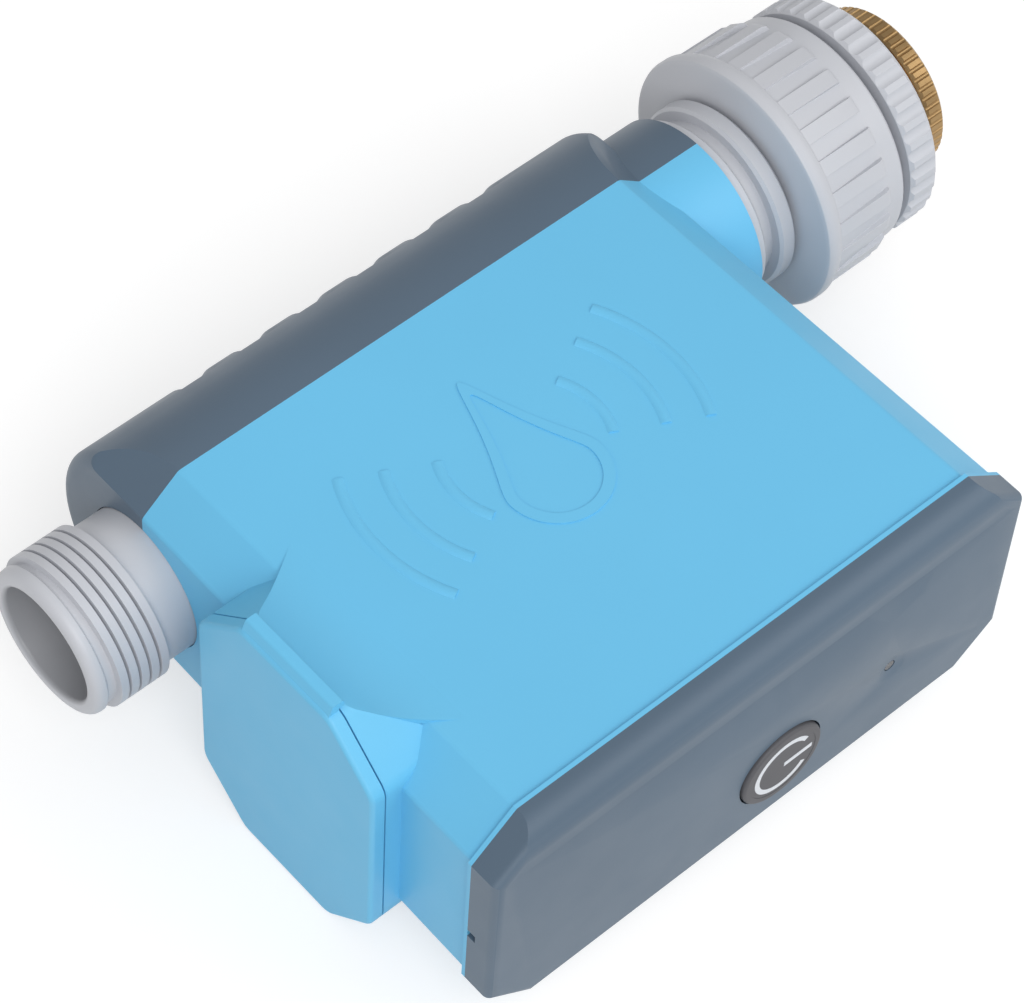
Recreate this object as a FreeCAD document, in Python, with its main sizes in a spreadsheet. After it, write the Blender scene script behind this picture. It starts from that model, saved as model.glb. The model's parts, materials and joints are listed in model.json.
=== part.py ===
import FreeCAD, Part
import math
import os
import re
import Sketcher

# Hose irrigation timer.
# The water runs along X: the outlet thread is at the low end, and the inlet mouth is the origin.
# The flat housing reaches towards -Y, where the control panel closes it. +Z is up as it lies on a table.

# Driving dimensions in millimetres
SIZES = {
    # Inlet adapters, from the mouth inwards
    "brass_flange_radius": 14.2,
    "brass_flange_thickness": 3.5,
    "brass_shoulder_radius": 12.9,
    "brass_shoulder_length": 3.8,
    "brass_plug_radius": 12.1,
    "brass_plug_length": 9.0,
    "inlet_bore_radius": 9.3,
    "inlet_bore_depth": 11.0,
    "inlet_thread_depth": 1.1,
    "inlet_thread_turns": 5,
    "brass_waterway_radius": 7.6,
    "brass_notch_count": 54,
    "knurl_radius": 0.42,
    "knurl_lift": 0.1,
    "knurl_overrun": 0.02,
    "brass_flange_edge": 0.5,
    "brass_plug_edge": 0.6,
    "brass_bore_slope": 0.8,
    "brass_seat_play": 0.02,
    "reducer_flange_radius": 20.3,
    "reducer_flange_thickness": 6.0,
    "reducer_scallop_count": 38,
    "scallop_radius": 1.5,
    "scallop_lift": 1.0,
    "reducer_plug_length": 12.6,
    "reducer_plug_radius": 15.1,
    "reducer_waterway_radius": 9.0,
    "reducer_plug_edge": 0.8,
    "reducer_back_edge": 0.6,
    "reducer_front_edge": 1.0,
    "washer_thickness": 1.6,
    # Swivel nut
    "nut_gap": 1.7,
    "nut_length": 18.4,
    "nut_ring_radius": 22.2,
    "nut_ring_length": 3.4,
    "nut_body_radius": 21.3,
    "nut_far_radius": 20.5,
    "nut_end_wall": 3.2,
    "nut_ring_edge": 0.9,
    "nut_ring_round_along": 0.35,
    "nut_ring_round_drop": 0.25,
    "nut_ring_slope_length": 1.2,
    "nut_ring_slope_drop": 0.5,
    "nut_ring_step": 0.2,
    "nut_hem_length": 4.0,
    "nut_hem_drop": 0.2,
    "nut_edge_length": 0.5,
    "nut_edge_drop": 0.6,
    "nut_rib_count": 24,
    "nut_rib_height": 0.9,
    "nut_rib_width": 2.7,
    "nut_rib_length": 11.2,
    "nut_rib_sunk": 0.4,
    "nut_rib_near_share": 0.3,
    "nut_rib_crown": 0.12,
    "nut_rib_tip_length": 1.2,
    "nut_rib_nose_length": 0.35,
    "nut_rib_nose_share": 0.75,
    # Inlet spigot
    "spigot_to_nut_gap": 1.0,
    "flange_ring_radius": 16.0,
    "flange_ring_width": 3.2,
    "ring_groove_radius": 13.8,
    "ring_groove_width": 2.5,
    "first_ring_radius": 15.5,
    "first_ring_width": 2.4,
    "spigot_tube_radius": 12.4,
    "spigot_sleeve_radius": 14.3,
    "spigot_tail_flange_radius": 14.7,
    "spigot_tail_flange_width": 2.2,
    "spigot_bore_radius": 8.0,
    "spigot_plug_length": 3.5,
    "spigot_edge": 0.5,
    # Housing
    "neck_length": 8.6,
    "neck_radius": 16.8,
    "housing_length": 100.0,
    "housing_front_half_height": 21.4,
    "draft_angle": 0.7,
    "housing_depth": 72.7,
    "chamfer_length": 7.4,
    "chamfer_drop": 6.2,
    "corner_share": 0.42,
    "wall": 2.2,
    "lip_step": 0.7,
    "lip_thickness": 0.7,
    "shell_edge_radius": 1.2,
    # Control panel
    "panel_depth": 5.4,
    "panel_wall": 2.0,
    "panel_edge_radius": 1.6,
    "panel_front_wall": 3.2,
    "panel_top_radius": 4.6,
    "panel_skirt": 3.0,
    "scoop_radius": 430.0,
    "scoop_low": 5.4,
    "scoop_high": 15.3,
    "scoop_depth": 2.6,
    "scoop_angle": 16.0,
    "button_place": 96.4,
    "button_drop": 9.0,
    "button_radius": 7.7,
    "button_height": 4.6,
    "button_proud": 0.7,
    "button_travel_space": 1.0,
    "button_flange_width": 1.2,
    "button_stem_radius": 1.9,
    "button_edge_radius": 0.56,
    "lamp_place": 74.2,
    "lamp_drop": 5.9,
    "lamp_radius": 0.9,
    "light_collar_width": 1.0,
    "dimple_radius": 8.0,
    "dimple_depth": 0.55,
    "notch_width": 1.6,
    "notch_depth": 1.2,
    "notch_drop": 3.5,
    # Battery bay
    "bay_place": 39.0,
    "bay_half_width": 19.0,
    "bay_half_height": 26.4,
    "bay_corner_height": 17.2,
    "bay_top_half_width": 9.6,
    "bay_reach": 2.6,
    "bay_ramp": 9.4,
    "bay_collar": 0.8,
    "bay_corner_radius": 3.5,
    "cover_thickness": 2.3,
    "cover_edge_radius": 0.8,
    "cover_gap": 0.25,
    "tab_length": 18.5,
    "tab_reach": 3.2,
    "tab_clearance": 0.35,
    "tab_edge_radius": 0.48,
    "cell_radius": 7.1,
    "cell_length": 49.5,
    "cell_edge_radius": 0.8,
    "cell_nub_radius": 2.7,
    "cell_nub_height": 1.0,
    "cell_pitch": 15.4,
    "holder_plate": 2.0,
    "holder_margin": 1.2,
    "holder_web": 0.7,
    "contact_space": 4.0,
    "contact_half_size": 4.26,
    "contact_spring_radius": 3.2,
    "contact_wire_radius": 0.4,
    "contact_spring_turns": 2,
    "contact_spring_play": 0.02,
    "well_wall": 1.2,
    "seal_thickness": 1.6,
    # Outlet thread and valve
    "outlet_thread_radius": 13.1,
    "outlet_thread_depth": 1.2,
    "thread_pitch": 1.814,
    "outlet_thread_turns": 5.2,
    "thread_foot_share": 0.49,
    "thread_crest_share": 0.34,
    "thread_start_share": 0.06,
    "thread_sunk": 0.3,
    "groove_foot_share": 0.3,
    "groove_crest_share": 0.08,
    "thread_trim": 0.3,
    "outlet_lip_length": 2.3,
    "outlet_lip_drop": 0.7,
    "outlet_lip_rounding": 1.5,
    "outlet_edge_rounding": 0.8,
    "outlet_lip_back_rounding": 0.3,
    "outlet_collar_length": 4.1,
    "outlet_bore_radius": 9.6,
    "outlet_throat_radius": 8.4,
    "outlet_throat_length": 4.0,
    "valve_place": 70.0,
    "chamber_radius": 14.2,
    "chamber_half_length": 11.5,
    "chamber_bore_radius": 11.0,
    "chamber_flare": 3.0,
    "ball_radius": 10.2,
    "waterway_radius": 6.8,
    "seat_bore_radius": 7.5,
    "seat_thickness": 5.9,
    "stem_radius": 3.1,
    "stem_tongue_width": 2.0,
    "stem_tongue_depth": 2.2,
    "stem_tongue_inset": 0.6,
    "stem_tongue_sunk": 0.2,
    "drive_end_radius": 2.2,
    "stem_boss_radius": 6.6,
    "stem_boss_height": 5.0,
    "stem_ring_section": 0.8,
    "stem_ring_bar_radius": 0.64,
    "stem_ring_gap": 0.04,
    "stem_ring_pitch": 2.0,
    "stem_ring_count": 2,
    # Gearbox
    "gear_module": 0.8,
    "fine_gear_module": 0.6,
    "large_gear_teeth": 24,
    "small_gear_teeth": 8,
    "gear_width": 2.8,
    "gear_step": 0.4,
    "gear_hub_sunk": 0.2,
    "gear_tooth_sunk": 0.25,
    "gearbox_wall": 1.1,
    "gearbox_air": 0.5,
    "axle_radius": 0.8,
    "gear_bearing_clearance": 0.05,
    "first_idler_angle": 180.0,
    "second_idler_angle": 60.0,
    "pinion_angle": -40.0,
    "motor_radius": 10.0,
    "motor_length": 24.0,
    "motor_shaft_radius": 1.0,
    "motor_shaft_proud": 0.3,
    "motor_recess": 0.5,
    "motor_cap_radius": 4.0,
    "motor_cap_height": 1.0,
    # Electronics
    "board_thickness": 1.6,
    "board_place": 62.6,
    "board_edge_space": 3.2,
    "board_screw_inset": 6.6,
    "board_screw_bite": 4.0,
    "board_pilot_depth": 7.0,
    "standoff_radius": 2.6,
    "standoff_sunk": 0.2,
    "screw_radius": 1.2,
    "screw_head_radius": 2.3,
    "screw_head_height": 1.5,
    "radio_length": 18.0,
    "radio_height": 15.0,
    "radio_thickness": 2.6,
    "radio_place": 14.0,
    "radio_corner_radius": 1.0,
    "switch_size": 6.2,
    "lamp_chip_size": 2.4,
    # Rear shell
    "grip_notch_count": 6,
    "grip_notch_pitch": 11.1,
    "grip_notch_first": 127.6,
    "grip_notch_radius": 8.0,
    "grip_half_angle": 43.0,
    "grip_notch_depth": 0.8,
    "shell_screw_pitch": 24.0,
    "shell_screw_count": 3,
    "shell_screw_first": 141.5,
    "shell_screw_drop": 16.2,
    "shell_screw_length": 14.0,
    "screw_boss_radius": 2.64,
    "screw_boss_depth": 12.0,
    "screw_post_height": 9.0,
    "screw_seat_level": 6.0,
    "screw_way_length": 30.0,
    # Small parts
    "symbol_radius": 6.4,
    "symbol_depth": 0.3,
    "symbol_gap": 0.01,
    "switch_plunger": 1.4,
    "switch_plunger_radius": 1.6,
    "strainer_seat_radius": 11.0,
    "strainer_seat_depth": 2.0,
    "strainer_bars": 7,
    "strainer_bar_width": 0.6,
    "strainer_bar_depth": 0.7,
    "strainer_bar_step": 0.4,
    "strainer_bar_inset": 1.2,
    "strainer_rim": 1.6,
    "slot_gap": 0.1,
    "tooth_share": 0.72,
    "tooth_foot": 1.25,
    "tooth_head": 0.55,
    "tooth_tip": 0.85,
    "tooth_root": 1.25,
    "tab_rise": 1.6,
    "tab_front_slope": 1.2,
    "tab_root": 0.6,
    "contact_plate": 0.3,
    # How far a cutting or joining shape runs past its face
    "overrun": 1.0,
    # Clearances
    "fit_gap": 0.15,
    "running_gap": 0.1,
    "slide_gap": 0.3,
}

# Places worked out from the driving dimensions
PLACES = {
    "shoulder_face": "-brass_flange_thickness",
    "reducer_face": "shoulder_face - brass_shoulder_length",
    "brass_plug_end": "reducer_face - brass_plug_length",
    "reducer_flange_end": "reducer_face - reducer_flange_thickness",
    "reducer_socket_end": "brass_plug_end - washer_thickness",
    "reducer_plug_end": "reducer_flange_end - reducer_plug_length",
    "nut_open_end": "reducer_flange_end - nut_gap",
    "nut_face": "nut_open_end - nut_length",
    "nut_wall_inside": "nut_face + nut_end_wall",
    "nut_bore_radius": "reducer_plug_radius + running_gap",
    "nut_rib_near_end": "nut_face + nut_ring_length - nut_rib_sunk",
    "nut_rib_far_end": "nut_face + nut_ring_length + nut_rib_length",
    "spigot_tail": "reducer_plug_end - washer_thickness",
    "spigot_tail_back": "spigot_tail - spigot_tail_flange_width",
    "flange_ring_face": "nut_face - spigot_to_nut_gap",
    "ring_groove_face": "flange_ring_face - flange_ring_width",
    "first_ring_face": "ring_groove_face - ring_groove_width",
    "neck_end": "first_ring_face - first_ring_width",
    "housing_right": "neck_end - neck_length",
    "housing_left": "housing_right - housing_length",
    "housing_middle": "(housing_right + housing_left) / 2",
    "housing_half_length": "housing_length / 2",
    "housing_draft": "housing_depth * tan(draft_angle)",
    "housing_rear_half_height": "housing_front_half_height - housing_draft",
    "rear_half_length": "housing_half_length - housing_draft",
    "rear_flat_half_length": "housing_half_length - chamfer_length - housing_draft * corner_share",
    "front_flat_half_length": "housing_half_length - chamfer_length",
    "rear_side_half_height": "front_side_half_height - housing_draft * corner_share",
    "front_side_half_height": "housing_front_half_height - chamfer_drop",
    "chamfer_inset": "wall * corner_share",
    "lip_half_length": "housing_half_length + lip_step",
    "lip_half_height": "housing_front_half_height + lip_step",
    "lip_flat_half_length": "front_flat_half_length + lip_step * corner_share",
    "lip_side_half_height": "front_side_half_height + lip_step * corner_share",
    "panel_back": "-housing_depth - lip_thickness",
    "panel_face": "panel_back - panel_depth",
    "panel_inside": "panel_face + panel_front_wall",
    "skirt_half_length": "housing_half_length - wall - fit_gap",
    "skirt_half_height": "housing_front_half_height - wall - fit_gap",
    "skirt_flat_half_length": "front_flat_half_length - chamfer_inset - fit_gap",
    "skirt_side_half_height": "front_side_half_height - chamfer_inset - fit_gap",
    "bay_face": "housing_left - bay_reach",
    "bay_ramp_end": "bay_face + bay_ramp",
    "cover_back": "bay_face - cover_gap",
    "cover_face": "cover_back - cover_thickness",
    "holder_half_size": "cell_pitch / 2 + cell_radius + holder_margin",
    "holder_start": "cover_back",
    "cell_start": "holder_start + holder_plate + contact_space",
    "holder_end": "cell_start + cell_length + cell_nub_height + contact_plate + holder_plate",
    "well_half_size": "holder_half_size + slide_gap",
    "well_end": "holder_end + slide_gap * 2",
    "outlet_collar_end": "housing_left - outlet_collar_length",
    "outlet_thread_length": "thread_pitch * (outlet_thread_turns + 1)",
    "outlet_lip_start": "outlet_collar_end - outlet_thread_length",
    "outlet_mouth": "outlet_lip_start - outlet_lip_length",
    "outlet_root_radius": "outlet_thread_radius - outlet_thread_depth",
    "outlet_lip_radius": "outlet_thread_radius - outlet_lip_drop",
    "pipe_radius": "outlet_root_radius",
    "valve_middle": "-valve_place",
    "chamber_left": "valve_middle - chamber_half_length",
    "chamber_right": "valve_middle + chamber_half_length",
    "chamber_end": "chamber_right + spigot_plug_length",
    "stem_boss_end": "-chamber_radius - stem_boss_height",
    "gearbox_base": "stem_boss_end - fit_gap",
    "gearbox_floor": "gearbox_base - gearbox_wall",
    "first_gear_level": "gearbox_floor - gearbox_air",
    "second_gear_level": "first_gear_level - gear_width - gear_step",
    "third_gear_level": "second_gear_level - gear_width - gear_step",
    "gearbox_top": "third_gear_level - gear_width - gearbox_air",
    "gearbox_lid_top": "gearbox_top - gearbox_wall",
    "coarse_distance": "gear_module * (large_gear_teeth + small_gear_teeth) / 2",
    "fine_distance": "fine_gear_module * (large_gear_teeth + small_gear_teeth) / 2",
    "first_idler_x": "valve_middle + coarse_distance * cos(first_idler_angle)",
    "first_idler_z": "coarse_distance * sin(first_idler_angle)",
    "second_idler_x": "first_idler_x + fine_distance * cos(second_idler_angle)",
    "second_idler_z": "first_idler_z + fine_distance * sin(second_idler_angle)",
    "pinion_x": "second_idler_x + fine_distance * cos(pinion_angle)",
    "pinion_z": "second_idler_z + fine_distance * sin(pinion_angle)",
    "coarse_gear_reach": "gear_module * (large_gear_teeth / 2 + 1) + gearbox_air",
    "fine_gear_reach": "fine_gear_module * (large_gear_teeth / 2 + 1) + gearbox_air",
    "gearbox_left": "first_idler_x - fine_gear_reach - gearbox_wall",
    "gearbox_right": "valve_middle + coarse_gear_reach + gearbox_wall",
    "gearbox_low": "-coarse_gear_reach - gearbox_wall",
    "gearbox_high": "second_idler_z + fine_gear_reach + gearbox_wall",
    "board_back": "-board_place",
    "board_face": "board_back - board_thickness",
    "board_half_length": "housing_half_length - wall - board_edge_space",
    "board_half_height": "front_side_half_height - board_edge_space / 2 + chamfer_drop / 2",
    "board_screw_reach": "board_half_length - board_screw_inset",
    "board_screw_height": "board_half_height - board_screw_inset + screw_head_radius",
    "button_x": "-button_place",
    "button_z": "-button_drop",
    "button_face": "panel_face - button_proud",
    "button_back": "button_face + button_height",
    "button_hole_radius": "button_radius + slide_gap",
    "button_flange_radius": "button_radius + button_flange_width",
    "plunger_end": "board_face - switch_size / 2 - switch_plunger - button_travel_space",
    "lamp_x": "-lamp_place",
    "lamp_z": "-lamp_drop",
}

# Straight steps in a quarter round of a turned section, and sides of a spring's wire
ROUND_STEPS = 5
WIRE_SIDES = 6

# How near counts as on a face, how long a chord counts as straight, and how steep counts as along an axis
NEAR = 0.01
STRAIGHT_SHARE = 0.999
ALONG_SHARE = 0.9

# The least share of a thread's volume that its blank must gain or lose
LEAST_THREAD_SHARE = 0.2

TURN_ALONG = {
    "X": FreeCAD.Rotation(FreeCAD.Vector(0, 1, 0), 90),
    "-X": FreeCAD.Rotation(FreeCAD.Vector(0, 1, 0), -90),
    "Y": FreeCAD.Rotation(FreeCAD.Vector(1, 0, 0), -90),
    "-Y": FreeCAD.Rotation(FreeCAD.Vector(1, 0, 0), 90),
    "Z": FreeCAD.Rotation(),
}

doc = FreeCAD.newDocument("irrigation_timer")
nodes = []


def formula(text):
    """Write the names of sizes and places the way an expression wants them."""

    def full_name(match):
        word = match.group(0)
        if word in SIZES:
            return "<<sizes>>." + word
        if word in PLACES:
            return "<<places>>." + word
        return word

    return re.sub(r"[A-Za-z_]\w*", full_name, str(text))


def fill_sheet(title, contents):
    sheet = doc.addObject("Spreadsheet::Sheet", title)
    for row, (alias, content) in enumerate(contents.items(), start=1):
        sheet.set(f"A{row}", content)
        sheet.setAlias(f"A{row}", alias)
    return sheet


sizes = fill_sheet("sizes", {name: str(value) for name, value in SIZES.items()})
doc.recompute()
places = fill_sheet("places", {name: "=" + formula(text) for name, text in PLACES.items()})
doc.recompute()


def number(name):
    """The present value of a size or a place."""
    sheet = sizes if name in SIZES else places
    return float(getattr(sheet, name))


def bind(item, **formulas):
    """Tie properties to formulas. A double underscore in a name stands for a dot."""
    for name, text in formulas.items():
        item.setExpression(name.replace("__", "."), formula(text))


def set_base(item, place, point):
    """Tie the base of a placement to three formulas."""
    for axis, text in zip("xyz", point):
        item.setExpression(f"{place}.Base.{axis}", formula(text))


def node(item, label):
    """Name a finished sub-part, so that it is written to its own file."""
    item.Label = label
    nodes.append(item)
    return item


def new_body(label, at=("0", "0", "0")):
    body = doc.addObject("PartDesign::Body", label)
    set_base(body, "Placement", at)
    return node(body, label)


def origin_item(body, role):
    return next(item for item in body.Origin.OriginFeatures if item.Role == role)


def sketch(body, name, role, outlines=(), circles=(), offset="0"):
    """A sketch on an origin plane, with every corner and circle tied to its formulas."""
    drawing = body.newObject("Sketcher::SketchObject", name)
    drawing.AttachmentSupport = (origin_item(body, role), [""])
    drawing.MapMode = "FlatFace"
    drawing.setExpression("AttachmentOffset.Base.z", formula(offset))
    for corners in outlines:
        first = drawing.GeometryCount
        count = len(corners)
        ring = [
            FreeCAD.Vector(math.cos(2 * math.pi * i / count), math.sin(2 * math.pi * i / count), 0)
            for i in range(count)
        ]
        for i in range(count):
            drawing.addGeometry(Part.LineSegment(ring[i], ring[(i + 1) % count]), False)
        for i in range(count):
            following = first + (i + 1) % count
            drawing.addConstraint(Sketcher.Constraint("Coincident", first + i, 2, following, 1))
        for i, (across, up) in enumerate(corners):
            place_point(drawing, first + i, 1, across, up)
    for across, up, radius in circles:
        circle = drawing.addGeometry(
            Part.Circle(FreeCAD.Vector(0, 0, 0), FreeCAD.Vector(0, 0, 1), 1.0), False
        )
        place_point(drawing, circle, 3, across, up)
        rule = drawing.addConstraint(Sketcher.Constraint("Radius", circle, 1.0))
        drawing.setExpression(f"Constraints[{rule}]", formula(radius))
    return drawing


def place_point(drawing, geometry, point, across, up):
    for kind, text in (("DistanceX", across), ("DistanceY", up)):
        rule = drawing.addConstraint(Sketcher.Constraint(kind, -1, 1, geometry, point, 1.0))
        drawing.setExpression(f"Constraints[{rule}]", formula(text))


def pad(body, drawing, length, flip=False):
    feature = body.newObject("PartDesign::Pad", drawing.Name + "_pad")
    feature.Profile = drawing
    feature.Reversed = flip
    bind(feature, Length=length)
    return feature


def pocket_through(body, drawing):
    feature = body.newObject("PartDesign::Pocket", drawing.Name + "_pocket")
    feature.Profile = drawing
    feature.Type = 1
    feature.Midplane = True
    return feature


def revolve(body, drawing, cut=False):
    kind = "PartDesign::Groove" if cut else "PartDesign::Revolution"
    feature = body.newObject(kind, drawing.Name + "_turn")
    feature.Profile = drawing
    feature.ReferenceAxis = (drawing, ["H_Axis"])
    feature.Angle = 360
    return feature


def block(body, name, low, size, cut=False):
    """A box from its lowest corner, added to the body or cut from it."""
    kind = "PartDesign::SubtractiveBox" if cut else "PartDesign::AdditiveBox"
    feature = body.newObject(kind, name)
    feature.AttachmentSupport = (origin_item(body, "XY_Plane"), [""])
    feature.MapMode = "FlatFace"
    set_base(feature, "AttachmentOffset", low)
    bind(feature, Length=size[0], Width=size[1], Height=size[2])
    return feature


def rod(body, name, start, radius, length, along="X", cut=False):
    """A round bar from the middle of its first end, added to the body or cut from it."""
    kind = "PartDesign::SubtractiveCylinder" if cut else "PartDesign::AdditiveCylinder"
    feature = body.newObject(kind, name)
    feature.AttachmentSupport = (origin_item(body, "XY_Plane"), [""])
    feature.MapMode = "FlatFace"
    feature.AttachmentOffset = FreeCAD.Placement(FreeCAD.Vector(), TURN_ALONG[along])
    set_base(feature, "AttachmentOffset", start)
    bind(feature, Radius=radius, Height=length)
    return feature


def ring_pattern(body, feature, role, count):
    """Repeat a feature round one of the body's own axes."""
    pattern = body.newObject("PartDesign::PolarPattern", feature.Name + "_ring")
    pattern.Originals = [feature]
    pattern.Axis = (origin_item(body, role), [""])
    pattern.Angle = 360
    bind(pattern, Occurrences=count)
    body.Tip = pattern
    return pattern


def round_edges(body, name, radius, test):
    """Round those edges of the body that pass a test on the edge."""
    doc.recompute()
    base = body.Tip
    edges = [f"Edge{i}" for i, edge in enumerate(base.Shape.Edges, start=1) if test(edge)]
    feature = body.newObject("PartDesign::Fillet", name)
    feature.Base = (base, edges)
    bind(feature, Radius=radius)
    return feature


def turned(label, corners, at=("0", "0", "0")):
    """A body turned about X from a closed outline of (along, radius) corners."""
    body = new_body(label, at)
    revolve(body, sketch(body, label + "_profile", "XY_Plane", [corners]))
    return body


def octagon(half_length, flat_half_length, half_height, side_half_height, middle="housing_middle"):
    """Corners of the housing's eight-sided section in the XZ plane."""
    right = f"{middle} + {half_length}"
    left = f"{middle} - ({half_length})"
    flat_right = f"{middle} + {flat_half_length}"
    flat_left = f"{middle} - ({flat_half_length})"
    return [
        (right, f"-({side_half_height})"),
        (right, side_half_height),
        (flat_right, half_height),
        (flat_left, half_height),
        (left, side_half_height),
        (left, f"-({side_half_height})"),
        (flat_left, f"-({half_height})"),
        (flat_right, f"-({half_height})"),
    ]


def bay_outline(half_width, corner_height, top_half_width, half_height):
    """Corners of the battery bay's section in the YZ plane."""
    middle = "-bay_place"
    return [
        (f"{middle} + {half_width}", f"-({corner_height})"),
        (f"{middle} + {half_width}", corner_height),
        (f"{middle} + {top_half_width}", half_height),
        (f"{middle} - ({top_half_width})", half_height),
        (f"{middle} - ({half_width})", corner_height),
        (f"{middle} - ({half_width})", f"-({corner_height})"),
        (f"{middle} - ({top_half_width})", f"-({half_height})"),
        (f"{middle} + {top_half_width}", f"-({half_height})"),
    ]


def middle_of(edge):
    return edge.valueAt((edge.FirstParameter + edge.LastParameter) / 2)


def direction_of(edge):
    """The direction of a straight edge, or a null vector for a bent one."""
    span = edge.valueAt(edge.LastParameter) - edge.valueAt(edge.FirstParameter)
    if span.Length < STRAIGHT_SHARE * edge.Length:
        return FreeCAD.Vector()
    return span.normalize()


def helical_ridge(radius, depth, turns, start, foot, crest):
    """One continuous ridge round X, with the half widths of its foot and crest as shares of the pitch."""
    pitch = number("thread_pitch")
    coil = Part.makeHelix(pitch, pitch * turns, radius)
    inner = radius - number("thread_sunk")
    outer = radius + depth
    section = Part.makePolygon(
        [
            FreeCAD.Vector(inner, 0, -foot * pitch),
            FreeCAD.Vector(outer, 0, -crest * pitch),
            FreeCAD.Vector(outer, 0, crest * pitch),
            FreeCAD.Vector(inner, 0, foot * pitch),
            FreeCAD.Vector(inner, 0, -foot * pitch),
        ]
    )
    ridge = Part.Wire(coil).makePipeShell([section], True, True)
    ridge.Placement = FreeCAD.Placement(FreeCAD.Vector(start, 0, 0), TURN_ALONG["X"])
    return ridge


def shell_screw_places():
    """Places of the screws that hold the two shells together, along X and Z."""
    for i in range(int(number("shell_screw_count"))):
        yield f"-shell_screw_first + {i} * shell_screw_pitch", "-shell_screw_drop"


# Housing shells
def build_housing_blank():
    """The drafted eight-sided prism with its rounded edges and the lip behind the control panel."""
    body = doc.addObject("PartDesign::Body", "housing_blank")
    front = octagon(
        "housing_half_length",
        "front_flat_half_length",
        "housing_front_half_height",
        "front_side_half_height",
    )
    prism = pad(body, sketch(body, "front_section", "XZ_Plane", [front], offset="housing_depth"),
                "housing_depth", flip=True)
    bind(prism, TaperAngle="-draft_angle")
    round_edges(body, "housing_edges", "shell_edge_radius", runs_along_depth)
    lip = octagon("lip_half_length", "lip_flat_half_length", "lip_half_height", "lip_side_half_height")
    pad(body, sketch(body, "lip_outline", "XZ_Plane", [lip], offset="housing_depth"), "lip_thickness")
    return body


def build_front_shell():
    blank = doc.addObject("PartDesign::Body", "inside_blank")
    inside = octagon(
        "housing_half_length - wall",
        "front_flat_half_length - chamfer_inset",
        "housing_front_half_height - wall",
        "front_side_half_height - chamfer_inset",
    )
    section = sketch(blank, "inside_section", "XZ_Plane", [inside], offset="housing_depth + overrun")
    bind(pad(blank, section, "housing_depth + 2 * overrun", flip=True), TaperAngle="-draft_angle")
    bay_core = build_bay("bay_core", "wall", "bay_face + wall", False)
    neck = primitive_rod("neck", ("housing_right - chamfer_length - wall", "0", "0"), "neck_radius",
                         "neck_length + chamfer_length + wall")
    well_outer = "2 * (well_half_size + well_wall)"
    well_walls = primitive_box(
        "well_walls",
        ("bay_face + wall / 2", "-bay_place - well_half_size - well_wall", "-well_half_size - well_wall"),
        ("well_end + well_wall - bay_face - wall / 2", well_outer, well_outer),
    )
    well = primitive_box(
        "battery_well",
        ("bay_face - wall", "-bay_place - well_half_size", "-well_half_size"),
        ("well_end - bay_face + wall", "2 * well_half_size", "2 * well_half_size"),
    )
    rear_half = primitive_box(
        "rear_half",
        ("outlet_mouth", "0", "-2 * bay_half_height"),
        ("-outlet_mouth", "2 * neck_radius", "4 * bay_half_height"),
    )
    bosses, pilots = [], []
    for i, (place, up) in enumerate(shell_screw_places()):
        bosses.append(primitive_rod(f"screw_boss_{i}", (place, "0", up), "screw_boss_radius",
                                    "screw_boss_depth", "-Y"))
        pilots.append(primitive_rod(f"screw_pilot_{i}", (place, "overrun", up), "screw_radius",
                                    "screw_boss_depth", "-Y"))
    outside = joined("front_outside", [build_housing_blank(), build_bay("bay", "0", "bay_face", True), neck])
    core = joined("front_core", [blank, bay_core] + pipe_openings("front"))
    hollow = cut_from("front_hollow", outside, core)
    walls = joined("front_walls", [hollow, well_walls] + bosses)
    node(cut_from("front_shell", walls, joined("front_cuts", [well, rear_half] + pilots)), "front_shell")


def build_bay(name, inset, start, rounded):
    """The bulge round the battery opening, which ramps down into the housing's broad faces."""
    body = doc.addObject("PartDesign::Body", f"{name}_prism")
    outline = bay_outline(
        f"bay_half_width - {inset}",
        f"bay_corner_height - corner_share * {inset}",
        f"bay_top_half_width - corner_share * {inset}",
        f"bay_half_height - {inset}",
    )
    pad(body, sketch(body, f"{name}_outline", "YZ_Plane", [outline], offset=start),
        f"bay_ramp_end - ({start})")
    if rounded:
        round_edges(body, f"{name}_corners", "bay_corner_radius", runs_along_length)
    wedge = doc.addObject("PartDesign::Body", f"{name}_wedge")
    high = f"bay_half_height - {inset}"
    low = f"housing_rear_half_height - {inset}"
    flanks = [
        (start, high),
        ("bay_face + bay_collar", high),
        ("bay_ramp_end", low),
        ("bay_ramp_end", f"-({low})"),
        ("bay_face + bay_collar", f"-({high})"),
        (start, f"-({high})"),
    ]
    pad(wedge, sketch(wedge, f"{name}_flanks", "XZ_Plane", [flanks], offset="bay_place - bay_half_width"),
        "2 * bay_half_width")
    common = doc.addObject("Part::Common", name)
    common.Base = body
    common.Tool = wedge
    return common


def runs_along_length(edge):
    return abs(direction_of(edge).x) > ALONG_SHARE


def runs_along_depth(edge):
    return abs(direction_of(edge).y) > ALONG_SHARE


def pipe_openings(side):
    """The round ways through both end walls, shared by the two shells."""
    outlet = primitive_rod(f"{side}_outlet_opening", ("housing_left - wall", "0", "0"),
                           "pipe_radius + fit_gap", "3 * wall + chamfer_length")
    neck = primitive_rod(f"{side}_neck_bore", ("housing_right - 2 * chamfer_length", "0", "0"),
                         "spigot_sleeve_radius + fit_gap", "neck_length + 3 * chamfer_length")
    return [outlet, neck]


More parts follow.
